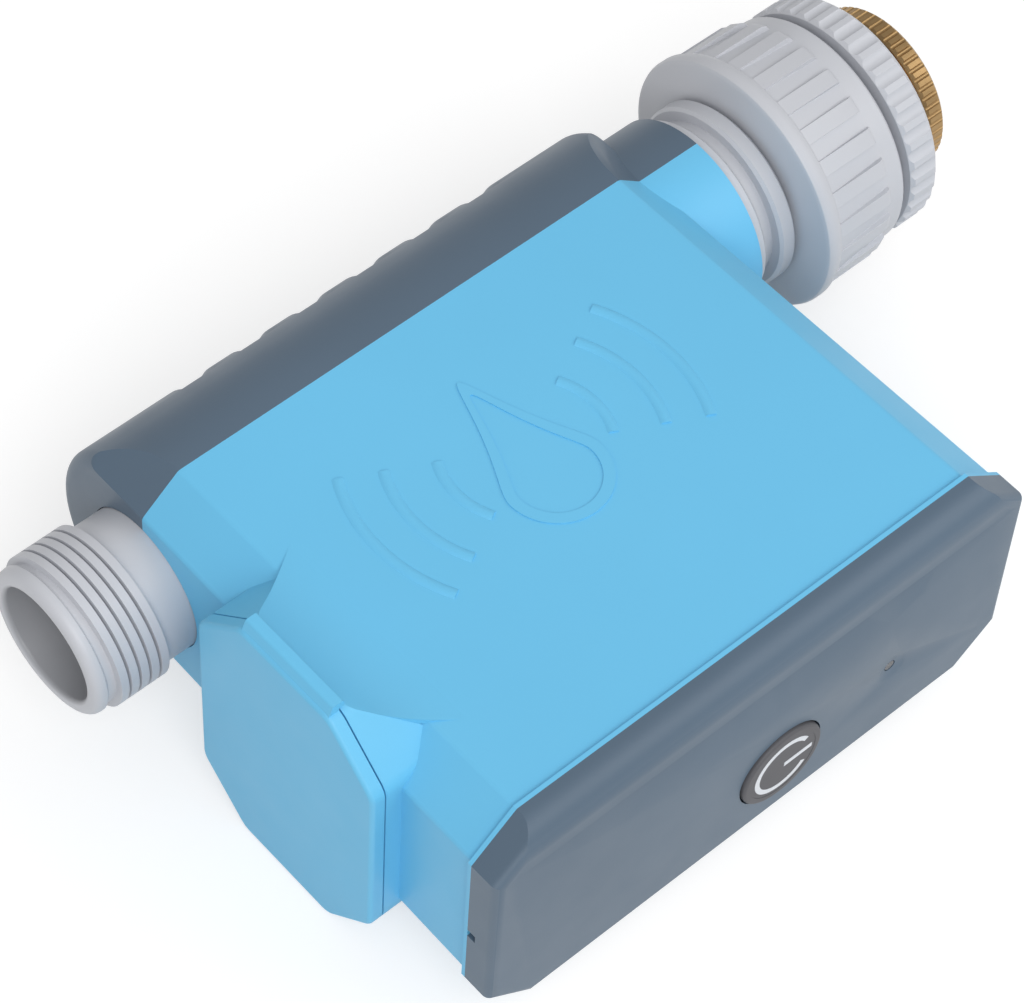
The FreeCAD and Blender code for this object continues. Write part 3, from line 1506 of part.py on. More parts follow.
def collar(label, level, teeth, module):
    """The hub that joins the two gears of an idler across the step between their levels."""
    body = doc.getObject(label)
    root = f"{module} * ({teeth} / 2 - tooth_root)"
    ring = sketch(
        body,
        "hub",
        "XZ_Plane",
        circles=[("0", "0", root), ("0", "0", "axle_radius + gear_bearing_clearance")],
        offset=f"-({level}) + gear_width - gear_hub_sunk",
    )
    pad(body, ring, "gear_step + 2 * gear_hub_sunk")


def build_motor_shaft():
    body = new_body("motor_shaft")
    rod(body, "shaft", ("pinion_x", "third_gear_level + motor_shaft_proud", "pinion_z"), "motor_shaft_radius",
        "third_gear_level + motor_shaft_proud - gearbox_lid_top", "-Y")


def build_gearbox():
    case = new_body("gearbox_case")
    box_size = ("gearbox_right - gearbox_left", "gearbox_base - gearbox_top", "gearbox_high - gearbox_low")
    block(case, "case", ("gearbox_left", "gearbox_top", "gearbox_low"), box_size)
    round_edges(case, "case_corners", "2 * gearbox_wall", runs_along_depth)
    block(
        case,
        "inside",
        ("gearbox_left + gearbox_wall", "gearbox_top - overrun", "gearbox_low + gearbox_wall"),
        (
            "gearbox_right - gearbox_left - 2 * gearbox_wall",
            "gearbox_floor - gearbox_top + overrun",
            "gearbox_high - gearbox_low - 2 * gearbox_wall",
        ),
        cut=True,
    )
    through = "gearbox_wall + 2 * overrun"
    rod(case, "stem_way", ("valve_middle", "gearbox_base + overrun", "0"), "stem_radius + running_gap",
        through, "-Y", cut=True)
    for name in ("first_idler", "second_idler"):
        rod(case, f"{name}_hole", (f"{name}_x", "gearbox_base + overrun", f"{name}_z"), "axle_radius",
            through, "-Y", cut=True)
    lid = new_body("gearbox_cover")
    lid_low = ("gearbox_left", "gearbox_lid_top", "gearbox_low")
    lid_size = ("gearbox_right - gearbox_left", "gearbox_wall", "gearbox_high - gearbox_low")
    block(lid, "lid", lid_low, lid_size)
    round_edges(lid, "lid_corners", "2 * gearbox_wall", runs_along_depth)
    rod(lid, "shaft_way", ("pinion_x", "gearbox_top + overrun", "pinion_z"), "2 * motor_shaft_radius",
        through, "-Y", cut=True)
    for name in ("first_idler", "second_idler"):
        rod(lid, f"{name}_hole", (f"{name}_x", "gearbox_top + overrun", f"{name}_z"), "axle_radius",
            through, "-Y", cut=True)
    axles = [
        primitive_rod(f"{name}_axle", (f"{name}_x", "gearbox_base", f"{name}_z"), "axle_radius",
                      "gearbox_base - gearbox_lid_top", "-Y")
        for name in ("first_idler", "second_idler")
    ]
    group = doc.addObject("Part::Compound", "gear_axles")
    group.Links = axles
    node(group, "gear_axles")


def build_motor():
    body = new_body("gear_motor")
    rod(body, "can", ("pinion_x", "gearbox_lid_top", "pinion_z"), "motor_radius", "motor_length", "-Y")
    rod(body, "shaft_recess", ("pinion_x", "gearbox_lid_top + overrun", "pinion_z"), "2 * motor_shaft_radius",
        "motor_recess + overrun", "-Y", cut=True)
    rod(body, "end_cap", ("pinion_x", "gearbox_lid_top - motor_length", "pinion_z"), "motor_cap_radius",
        "motor_cap_height", "-Y")


# Battery drawer
def build_battery_cover():
    body = new_body("battery_cover")
    outline = bay_outline("bay_half_width", "bay_corner_height", "bay_top_half_width", "bay_half_height")
    pad(body, sketch(body, "cover_outline", "YZ_Plane", [outline], offset="cover_face"), "cover_thickness")
    round_edges(body, "cover_corners", "bay_corner_radius", runs_along_length)
    round_edges(body, "cover_front_edge", "cover_edge_radius", lies_on_cover_face)
    under = "bay_half_height + tab_clearance"
    top = "bay_half_height + tab_rise"
    profile = [
        ("cover_face + tab_root / 2", "bay_half_height - tab_root"),
        ("cover_face + tab_front_slope", top),
        ("cover_face + tab_reach", top),
        ("cover_face + tab_reach", under),
        ("cover_back", under),
        ("cover_back", "bay_half_height - tab_root"),
    ]
    pad(body, sketch(body, "tab_profile", "XZ_Plane", [profile], offset="bay_place - tab_length / 2"),
        "tab_length")
    round_edges(body, "tab_edges", "tab_edge_radius", is_tab_edge)
    groove_outer = "well_half_size + well_wall"
    groove_inner = "well_half_size + fit_gap"
    groove = body.newObject("PartDesign::Pocket", "seal_groove")
    groove.Profile = sketch(
        body,
        "seal_track",
        "YZ_Plane",
        [square(groove_outer), square(groove_inner)],
        offset="cover_back",
    )
    bind(groove, Length="cover_thickness / 2")


def square(half, middle="-bay_place"):
    return [
        (f"{middle} + {half}", f"-({half})"),
        (f"{middle} + {half}", half),
        (f"{middle} - ({half})", half),
        (f"{middle} - ({half})", f"-({half})"),
    ]


def lies_on_cover_face(edge):
    return abs(middle_of(edge).x - number("cover_face")) < NEAR


def is_tab_edge(edge):
    middle = middle_of(edge)
    at_top = abs(middle.z - number("bay_half_height") - number("tab_rise")) < NEAR
    return at_top and not runs_along_length(edge)


def build_battery_seal():
    body = new_body("battery_seal")
    outer = "well_half_size + well_wall - fit_gap / 2"
    inner = "well_half_size + 1.5 * fit_gap"
    pad(
        body,
        sketch(body, "seal_outline", "YZ_Plane", [square(outer), square(inner)],
               offset="cover_back - cover_thickness / 2"),
        "cover_thickness / 2 + cover_gap",
    )


def build_battery_holder():
    body = new_body("battery_holder")
    plate = square("holder_half_size")
    pad(body, sketch(body, "front_plate", "YZ_Plane", [plate], offset="holder_start"), "holder_plate")
    block(body, "upright_web", ("holder_start", "-bay_place - holder_web / 2", "-holder_half_size"),
          ("holder_end - holder_start", "holder_web", "2 * holder_half_size"))
    block(body, "level_web", ("holder_start", "-bay_place - holder_half_size", "-holder_web / 2"),
          ("holder_end - holder_start", "2 * holder_half_size", "holder_web"))
    pad(body, sketch(body, "rear_plate", "YZ_Plane", [plate], offset="holder_end - holder_plate"),
        "holder_plate")


def cell_places():
    """Middle of each cell's section, and whether its positive end faces the cover."""
    for i, (across, up) in enumerate((("-", "-"), ("+", "-"), ("-", "+"), ("+", "+"))):
        yield f"-bay_place {across} cell_pitch / 2", f"0 {up} cell_pitch / 2", i in (1, 2)


def build_cells():
    for i, (across, up, turned_round) in enumerate(cell_places(), start=1):
        body = new_body(f"battery_{i}")
        if turned_round:
            start = "cell_start - contact_space + contact_plate + cell_nub_height"
            nub = "cell_start - contact_space + contact_plate"
        else:
            start = "cell_start"
            nub = "cell_start + cell_length"
        rod(body, "can", (start, across, up), "cell_radius", "cell_length")
        round_edges(body, "can_edges", "cell_edge_radius", is_round)
        rod(body, "nub", (nub, across, up), "cell_nub_radius", "cell_nub_height")


def build_contacts():
    plates = []
    front = "holder_start + holder_plate"
    back = "holder_end - holder_plate - contact_plate"
    for i, (across, up, turned_round) in enumerate(cell_places()):
        for side, place in (("front", front), ("back", back)):
            plates.append(
                primitive_box(
                    f"contact_{side}_{i}",
                    (place, f"{across} - contact_half_size", f"{up} - contact_half_size"),
                    ("contact_plate", "2 * contact_half_size", "2 * contact_half_size"),
                )
            )
    group = doc.addObject("Part::Compound", "contact_plates")
    group.Links = plates
    node(group, "contact_plates")
    doc.recompute()
    coils = []
    wire = number("contact_wire_radius")
    radius = number("contact_spring_radius")
    turns = number("contact_spring_turns")
    play = number("contact_spring_play")
    plate_face = number("holder_start") + number("holder_plate") + number("contact_plate")
    length = number("cell_start") - plate_face
    far_face = number("holder_end") - number("holder_plate") - number("contact_plate")
    pitch = (length - 2 * wire - 2 * play) / turns
    corners = [math.radians(360 / WIRE_SIDES * k) for k in range(WIRE_SIDES + 1)]
    for across, up, turned_round in cell_places():
        start = far_face - length if turned_round else plate_face
        coil = Part.makeHelix(pitch, turns * pitch, radius)
        section = Part.makePolygon(
            [FreeCAD.Vector(radius + wire * math.cos(turn), 0, wire * math.sin(turn)) for turn in corners]
        )
        spring = Part.Wire(coil).makePipeShell([section], True, True)
        middle = FreeCAD.Vector(start + wire + play, value_of(across), value_of(up))
        spring.Placement = FreeCAD.Placement(middle, TURN_ALONG["X"])
        coils.append(spring)
    springs = doc.addObject("Part::Feature", "contact_springs")
    springs.Shape = Part.makeCompound(coils)
    node(springs, "contact_springs")


def value_of(text):
    """The present value of a formula."""
    return float(sizes.evalExpression(formula(text)))


def check_and_write():
    doc.recompute()
    broken = [item.Name for item in doc.Objects if set(item.State) & {"Invalid", "Error"}]
    if broken:
        raise RuntimeError(f"not valid: {broken}")
    os.makedirs("parts", exist_ok=True)
    for item in nodes:
        shape = item.Shape
        if shape.isNull() or not shape.isValid():
            raise RuntimeError(f"{item.Label} has no valid shape")
        shape.exportStep(f"parts/{item.Label}.step")
        box = shape.BoundBox
        print(
            f"{item.Label:18s} {len(shape.Solids):2d} solids {shape.Volume:10.1f} mm3 "
            f"x {box.XMin:.2f}..{box.XMax:.2f} y {box.YMin:.2f}..{box.YMax:.2f} "
            f"z {box.ZMin:.2f}..{box.ZMax:.2f}"
        )


build_front_shell()
build_rear_shell()
build_control_panel()
build_panel_seal()
build_light_pipe()
build_power_button()
build_power_symbol()
build_circuit_board()
build_tact_switch()
build_status_lamp()
build_radio_module()
build_board_screws()
build_shell_screws()
build_valve_body()
build_stem_seals()
build_valve_seats()
build_inlet_spigot()
build_inlet_strainer()
ring_seal("inlet_washer", "reducer_plug_end", "reducer_waterway_radius", "spigot_tail_flange_radius",
          "washer_thickness")
build_swivel_nut()
build_plastic_reducer()
ring_seal("reducer_washer", "brass_plug_end", "reducer_waterway_radius", "brass_plug_radius - fit_gap",
          "washer_thickness")
build_brass_reducer()
build_valve_ball()
build_valve_stem()
build_gears()
build_motor_shaft()
build_gearbox()
build_motor()
build_battery_cover()
build_battery_seal()
build_battery_holder()
build_cells()
build_contacts()
check_and_write()
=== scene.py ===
"""Dresses a hose irrigation timer: a flat housing on an in-line valve, with its inlet and outlet threads.

The CAD frame gives every solid its place. This script gives each of them its finish, adds the raised
emblem and the printed key symbol, and sets up a plain studio with one camera.
"""

import json
import logging
import math
from dataclasses import dataclass, field
from enum import Enum

import bmesh
import bpy
from mathutils import Matrix, Vector

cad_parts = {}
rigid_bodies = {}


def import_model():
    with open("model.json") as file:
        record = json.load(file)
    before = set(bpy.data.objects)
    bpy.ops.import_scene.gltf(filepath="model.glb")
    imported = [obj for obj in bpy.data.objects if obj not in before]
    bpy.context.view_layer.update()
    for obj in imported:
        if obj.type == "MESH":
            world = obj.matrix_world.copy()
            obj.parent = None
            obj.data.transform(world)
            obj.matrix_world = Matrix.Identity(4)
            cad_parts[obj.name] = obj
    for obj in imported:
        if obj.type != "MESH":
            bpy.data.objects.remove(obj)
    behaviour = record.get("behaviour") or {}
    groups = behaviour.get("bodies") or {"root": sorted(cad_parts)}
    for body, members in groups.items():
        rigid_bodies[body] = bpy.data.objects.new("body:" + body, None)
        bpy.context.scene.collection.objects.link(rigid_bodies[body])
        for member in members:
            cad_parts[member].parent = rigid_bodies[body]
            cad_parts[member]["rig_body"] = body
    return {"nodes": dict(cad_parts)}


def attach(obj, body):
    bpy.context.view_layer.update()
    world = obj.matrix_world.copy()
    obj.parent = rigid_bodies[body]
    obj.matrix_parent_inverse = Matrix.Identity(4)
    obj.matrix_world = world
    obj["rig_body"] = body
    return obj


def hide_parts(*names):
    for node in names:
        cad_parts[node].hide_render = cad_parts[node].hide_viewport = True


LOG = logging.getLogger("irrigation_timer")

Colour = tuple[float, float, float, float]
Point = tuple[float, float, float]

# The width and height of the picture that the camera is measured on
IMAGE_SIZE = (1024, 1003)

# How near two corners are merged, how short an edge is dropped, and how flat a seam is dissolved
MERGE_DISTANCE = 1e-6
SLIVER_LENGTH = 1e-7
FLAT_ANGLE = math.radians(0.4)

# The middle of things that are turned or spun
ORIGIN: Point = (0.0, 0.0, 0.0)
UPWARDS: Point = (0.0, 0.0, 1.0)

# The solids of the frame by name, filled in when the frame is loaded
NODES: dict[str, bpy.types.Object] = {}


def linear(red: int, green: int, blue: int) -> Colour:
    """Turn a colour as a screen shows it into the shader's linear values.

    Args:
        red: Red, from 0 to 255.
        green: Green, from 0 to 255.
        blue: Blue, from 0 to 255.

    Returns:
        The linear colour, opaque.
    """

    def channel(value: int) -> float:
        """Undo the screen's curve for one channel."""
        share = value / 255
        return share / 12.92 if share <= 0.04045 else ((share + 0.055) / 1.055) ** 2.4

    return (channel(red), channel(green), channel(blue), 1.0)


def shifted(colour: Colour, factor: float) -> Colour:
    """Make a colour lighter or darker by one factor, keeping its hue."""
    return (min(colour[0] * factor, 1.0), min(colour[1] * factor, 1.0), min(colour[2] * factor, 1.0), 1.0)


class Grain(Enum):
    """How the surface of a moulding looks from close by: its noise scale per metre and bump strength."""

    SPARK_ERODED = (2600.0, 0.35)
    POLISHED = (900.0, 0.08)

    @property
    def scale(self) -> float:
        """The noise scale of the grain per metre."""
        return self.value[0]

    @property
    def strength(self) -> float:
        """The strength of the grain's bump, from 0 to 1."""
        return self.value[1]


class ShaderSheet:
    """A material's node tree, with short ways to add and join its nodes."""

    ramp_start = 0.3
    ramp_end = 0.7

    def __init__(self, name: str) -> None:
        """Start an empty tree round one Principled shader."""
        self.material = bpy.data.materials.new(name)
        self.material.use_nodes = True
        self.tree = self.material.node_tree
        self.shader = self.tree.nodes["Principled BSDF"]
        self.coordinates = self.tree.nodes.new("ShaderNodeTexCoord")

    def add(self, kind: str, **settings: object) -> bpy.types.Node:
        """Add a node and set its plain properties.

        Args:
            kind: The node's type.
            settings: Property names and their values.

        Returns:
            The new node.
        """
        node = self.tree.nodes.new(kind)
        for name, value in settings.items():
            setattr(node, name, value)
        return node

    def join(self, source: bpy.types.NodeSocket, target: bpy.types.NodeSocket) -> None:
        """Link one socket to another."""
        self.tree.links.new(source, target)

    def noise(self, scale: float, detail: float, stretch: Point = (1.0, 1.0, 1.0)) -> bpy.types.Node:
        """Add a noise texture on object coordinates.

        Args:
            scale: Noise scale per metre.
            detail: Number of finer octaves.
            stretch: Scale of the coordinates along each axis.

        Returns:
            The noise node.
        """
        mapping = self.add("ShaderNodeMapping")
        mapping.inputs["Scale"].default_value = stretch
        self.join(self.coordinates.outputs["Object"], mapping.inputs["Vector"])
        texture = self.add("ShaderNodeTexNoise")
        texture.inputs["Scale"].default_value = scale
        texture.inputs["Detail"].default_value = detail
        self.join(mapping.outputs["Vector"], texture.inputs["Vector"])
        return texture

    def between(self, factor: bpy.types.NodeSocket, low: Colour, high: Colour) -> bpy.types.NodeSocket:
        """Run a colour ramp from one colour to another along a factor."""
        ramp = self.add("ShaderNodeValToRGB")
        stops = ((self.ramp_start, low), (self.ramp_end, high))
        for element, (position, colour) in zip(ramp.color_ramp.elements, stops):
            element.position = position
            element.color = colour
        self.join(factor, ramp.inputs["Fac"])
        return ramp.outputs["Color"]

    def spread(self, factor: bpy.types.NodeSocket, low: float, high: float) -> bpy.types.NodeSocket:
        """Map a factor from 0 to 1 onto a range."""
        span = self.add("ShaderNodeMapRange")
        span.inputs["To Min"].default_value = low
        span.inputs["To Max"].default_value = high
        self.join(factor, span.inputs["Value"])
        return span.outputs["Result"]

    def relief(
        self,
        height: bpy.types.NodeSocket,
        depth: float,
        strength: float,
        under: bpy.types.NodeSocket | None = None,
    ) -> bpy.types.NodeSocket:
        """Bump the surface by a height.

        Args:
            height: The socket that gives the height, from 0 to 1.
            depth: The depth of the relief in metres.
            strength: The strength of the bump, from 0 to 1.
            under: A bump that this one lies on.

        Returns:
            The socket that gives the normal.
        """
        bump = self.add("ShaderNodeBump")
        bump.inputs["Distance"].default_value = depth
        bump.inputs["Strength"].default_value = strength
        self.join(height, bump.inputs["Height"])
        if under is not None:
            self.join(under, bump.inputs["Normal"])
        return bump.outputs["Normal"]

    def uneven_gloss(self, texture: bpy.types.Node, low: float, high: float) -> None:
        """Let the roughness wander between two values with a texture."""
        self.join(self.spread(texture.outputs["Fac"], low, high), self.shader.inputs["Roughness"])

    def uneven_colour(self, texture: bpy.types.Node, colour: Colour, low: float, high: float) -> None:
        """Let the base colour wander between two shades of one colour with a texture."""
        shade = self.between(texture.outputs["Fac"], shifted(colour, low), shifted(colour, high))
        self.join(shade, self.shader.inputs["Base Color"])

    def surface(self, normal: bpy.types.NodeSocket) -> None:
        """Give the shader its normal."""
        self.join(normal, self.shader.inputs["Normal"])


@dataclass(frozen=True)
class MouldedPlastic:
    """A moulded plastic with a fine grain, faint flow marks and slightly uneven gloss."""

    name: str
    colour: Colour
    roughness: float
    grain: Grain
    unevenness: float
    flow_scale: float = 22.0
    flow_detail: float = 3.0
    flow_depth: float = 0.0002
    flow_strength: float = 0.12
    grain_detail: float = 2.0
    grain_depth: float = 0.00002
    handling_scale: float = 140.0
    handling_detail: float = 4.0
    gloss_span: float = 0.06

    def material(self) -> bpy.types.Material:
        """Build the material."""
        sheet = ShaderSheet(self.name)
        flow = sheet.noise(self.flow_scale, self.flow_detail)
        sheet.uneven_colour(flow, self.colour, 1.0 - self.unevenness, 1.0 + self.unevenness)
        handling = sheet.noise(self.handling_scale, self.handling_detail)
        sheet.uneven_gloss(handling, self.roughness - self.gloss_span, self.roughness + self.gloss_span)
        grain = sheet.noise(self.grain.scale, self.grain_detail)
        fine = sheet.relief(grain.outputs["Fac"], self.grain_depth, self.grain.strength)
        sheet.surface(sheet.relief(flow.outputs["Fac"], self.flow_depth, self.flow_strength, under=fine))
        return sheet.material


@dataclass(frozen=True)
class PipePlastic:
    """The moulded plastic of the valve body, with shade painted darker onto the walls of its bore."""

    name: str
    colour: Colour
    roughness: float = 0.42
    grain: Grain = Grain.POLISHED
    unevenness: float = 0.03
    bore_radius: float = 0.0097
    bore_edge: float = 0.0006
    # How dark the painted shade on the bore's walls is, as a share of the colour
    painted_bore_shade: float = 0.58
    flow_scale: float = 22.0
    flow_detail: float = 3.0
    grain_detail: float = 2.0
    grain_depth: float = 0.00002
    handling_scale: float = 140.0
    handling_detail: float = 4.0
    gloss_span: float = 0.06

    def outside(self, sheet: ShaderSheet) -> bpy.types.NodeSocket:
        """Give 0 within the bore's radius round the pipe's axis, where the shade is painted, and 1 beyond
        it.
        """
        across = sheet.add("ShaderNodeMapping")
        across.inputs["Scale"].default_value = (0.0, 1.0, 1.0)
        sheet.join(sheet.coordinates.outputs["Object"], across.inputs["Vector"])
        distance = sheet.add("ShaderNodeVectorMath", operation="LENGTH")
        sheet.join(across.outputs["Vector"], distance.inputs[0])
        outside = sheet.add("ShaderNodeMapRange")
        outside.inputs["From Min"].default_value = self.bore_radius
        outside.inputs["From Max"].default_value = self.bore_radius + self.bore_edge
        sheet.join(distance.outputs["Value"], outside.inputs["Value"])
        return outside.outputs["Result"]

    def material(self) -> bpy.types.Material:
        """Build the material."""
        sheet = ShaderSheet(self.name)
        flow = sheet.noise(self.flow_scale, self.flow_detail)
        low = shifted(self.colour, 1.0 - self.unevenness)
        high = shifted(self.colour, 1.0 + self.unevenness)
        # Painted shade: the bore's walls take a darker copy of the colour
        mixed = sheet.add("ShaderNodeMixRGB")
        sheet.join(self.outside(sheet), mixed.inputs["Fac"])
        mixed.inputs["Color1"].default_value = shifted(self.colour, self.painted_bore_shade)
        sheet.join(sheet.between(flow.outputs["Fac"], low, high), mixed.inputs["Color2"])
        sheet.join(mixed.outputs["Color"], sheet.shader.inputs["Base Color"])
        handling = sheet.noise(self.handling_scale, self.handling_detail)
        sheet.uneven_gloss(handling, self.roughness - self.gloss_span, self.roughness + self.gloss_span)
        grain = sheet.noise(self.grain.scale, self.grain_detail)
        sheet.surface(sheet.relief(grain.outputs["Fac"], self.grain_depth, self.grain.strength))
        return sheet.material


@dataclass(frozen=True)
class TurnedMetal:
    """A turned or drawn metal with fine marks and a slight stain."""

    name: str
    colour: Colour
    roughness: float
    stretch: Point = (60.0, 1.0, 1.0)
    mark_scale: float = 60.0
    mark_detail: float = 6.0
    mark_depth: float = 0.00003
    mark_strength: float = 0.35
    stain_scale: float = 180.0
    stain_detail: float = 4.0
    stain_range: tuple[float, float] = (0.86, 1.08)
    smoother: float = 0.1
    rougher: float = 0.12

    def material(self) -> bpy.types.Material:
        """Build the material."""
        sheet = ShaderSheet(self.name)
        marks = sheet.noise(self.mark_scale, self.mark_detail, stretch=self.stretch)
        sheet.uneven_colour(sheet.noise(self.stain_scale, self.stain_detail), self.colour, *self.stain_range)
        sheet.uneven_gloss(marks, self.roughness - self.smoother, self.roughness + self.rougher)
        sheet.surface(sheet.relief(marks.outputs["Fac"], self.mark_depth, self.mark_strength))
        sheet.shader.inputs["Metallic"].default_value = 1.0
        return sheet.material


@dataclass(frozen=True)
class SoftRubber:
    """Matt rubber with a dusty bloom."""

    name: str
    colour: Colour
    bloom_scale: float = 260.0
    bloom_detail: float = 5.0
    bloom_lift: float = 1.5
    bloom_depth: float = 0.00004
    bloom_strength: float = 0.3
    roughness_range: tuple[float, float] = (0.7, 0.9)

    def material(self) -> bpy.types.Material:
        """Build the material."""
        sheet = ShaderSheet(self.name)
        bloom = sheet.noise(self.bloom_scale, self.bloom_detail)
        sheet.uneven_colour(bloom, self.colour, 1.0, self.bloom_lift)
        sheet.uneven_gloss(bloom, *self.roughness_range)
        sheet.surface(sheet.relief(bloom.outputs["Fac"], self.bloom_depth, self.bloom_strength))
        return sheet.material


@dataclass(frozen=True)
class CircuitLacquer:
    """Green solder lacquer over copper tracks."""

    name: str
    board: Colour
    track: Colour
    track_scale: float = 260.0
    track_width: float = 0.08
    track_depth: float = 0.00003
    track_strength: float = 0.4
    other_shade: float = 0.85
    roughness: float = 0.3

    def material(self) -> bpy.types.Material:
        """Build the material."""
        sheet = ShaderSheet(self.name)
        tracks = sheet.add("ShaderNodeTexBrick")
        tracks.inputs["Scale"].default_value = self.track_scale
        tracks.inputs["Mortar Size"].default_value = self.track_width
        tracks.inputs["Color1"].default_value = self.board
        tracks.inputs["Color2"].default_value = shifted(self.board, self.other_shade)
        tracks.inputs["Mortar"].default_value = self.track
        turn = sheet.add("ShaderNodeMapping")
        turn.inputs["Rotation"].default_value = (math.pi / 2, 0.0, 0.0)
        sheet.join(sheet.coordinates.outputs["Object"], turn.inputs["Vector"])
        sheet.join(turn.outputs["Vector"], tracks.inputs["Vector"])
        sheet.join(tracks.outputs["Color"], sheet.shader.inputs["Base Color"])
        sheet.surface(sheet.relief(tracks.outputs["Fac"], self.track_depth, self.track_strength))
        sheet.shader.inputs["Roughness"].default_value = self.roughness
        return sheet.material


@dataclass(frozen=True)
class ClearMoulding:
    """Clear plastic with a slight haze."""

    name: str
    colour: Colour
    haze_scale: float = 300.0
    haze_detail: float = 3.0
    roughness_range: tuple[float, float] = (0.12, 0.24)
    clearness: float = 0.6
    refraction: float = 1.49

    def material(self) -> bpy.types.Material:
        """Build the material."""
        sheet = ShaderSheet(self.name)
        sheet.uneven_gloss(sheet.noise(self.haze_scale, self.haze_detail), *self.roughness_range)
        sheet.shader.inputs["Base Color"].default_value = self.colour
        sheet.shader.inputs["Transmission Weight"].default_value = self.clearness
        sheet.shader.inputs["IOR"].default_value = self.refraction
        return sheet.material


@dataclass(frozen=True)
class CellSleeve:
    """The printed sleeve of a cell: a dark wrap with a lighter band at one end."""

    name: str
    wrap: Colour
    band: Colour
    split: float = -0.117
    wear_scale: float = 420.0
    wear_detail: float = 4.0
    roughness_range: tuple[float, float] = (0.2, 0.34)
    metallic: float = 0.3

    def material(self) -> bpy.types.Material:
        """Build the material."""
        sheet = ShaderSheet(self.name)
        parts = sheet.add("ShaderNodeSeparateXYZ")
        sheet.join(sheet.coordinates.outputs["Object"], parts.inputs["Vector"])
        edge = sheet.add("ShaderNodeMath", operation="GREATER_THAN")
        edge.inputs[1].default_value = self.split
        sheet.join(parts.outputs["X"], edge.inputs[0])
        colour = sheet.between(edge.outputs["Value"], self.wrap, self.band)
        sheet.join(colour, sheet.shader.inputs["Base Color"])
        sheet.uneven_gloss(sheet.noise(self.wear_scale, self.wear_detail), *self.roughness_range)
        sheet.shader.inputs["Metallic"].default_value = self.metallic
        return sheet.material


class Palette:
    """All the finishes of the timer, each built once."""

    def __init__(self) -> None:
        """Build every material."""
        grey = linear(196, 198, 204)
        cream = linear(226, 226, 220)
        self.shell_blue = self.moulded("shell blue", linear(106, 192, 233), 0.46, 0.02)
        self.slate = self.moulded("slate", linear(84, 103, 121), 0.42, 0.04)
        self.pale_grey = self.moulded("pale grey", grey, 0.42, 0.03, Grain.POLISHED)
        self.pipe_grey = PipePlastic("pipe grey", grey).material()
        self.brass = TurnedMetal("brass", linear(172, 142, 100), 0.4).material()
        self.key_black = self.moulded("key black", linear(84, 84, 88), 0.55)
        self.print_white = self.moulded("print white", linear(226, 230, 236), 0.5, 0.01, Grain.POLISHED)
        self.rubber = SoftRubber("rubber", linear(34, 34, 36)).material()
        self.gear_white = self.moulded("gear white", cream, 0.4, grain=Grain.POLISHED)
        self.holder_black = self.moulded("holder black", linear(38, 38, 42), 0.5)
        self.board = CircuitLacquer("board", linear(24, 96, 58), linear(96, 140, 70)).material()
        self.steel = TurnedMetal("steel", linear(190, 190, 194), 0.3, (1.0, 1.0, 30.0)).material()
        self.chrome = TurnedMetal("chrome", linear(214, 216, 220), 0.16, (1.0, 1.0, 1.0)).material()
        self.sleeve = CellSleeve("cell sleeve", linear(40, 44, 52), linear(176, 122, 66)).material()
        self.smoked = ClearMoulding("smoked", linear(92, 96, 104)).material()

    @staticmethod
    def moulded(
        name: str,
        colour: Colour,
        roughness: float,
        unevenness: float = 0.05,
        grain: Grain = Grain.SPARK_ERODED,
    ) -> bpy.types.Material:
        """Build one moulded plastic.

        Args:
            name: The material's name.
            colour: Its linear colour.
            roughness: Its middle roughness.
            unevenness: How far its colour wanders, as a share.
            grain: Its grain.

        Returns:
            The material.
        """
        return MouldedPlastic(name, colour, roughness, grain, unevenness).material()


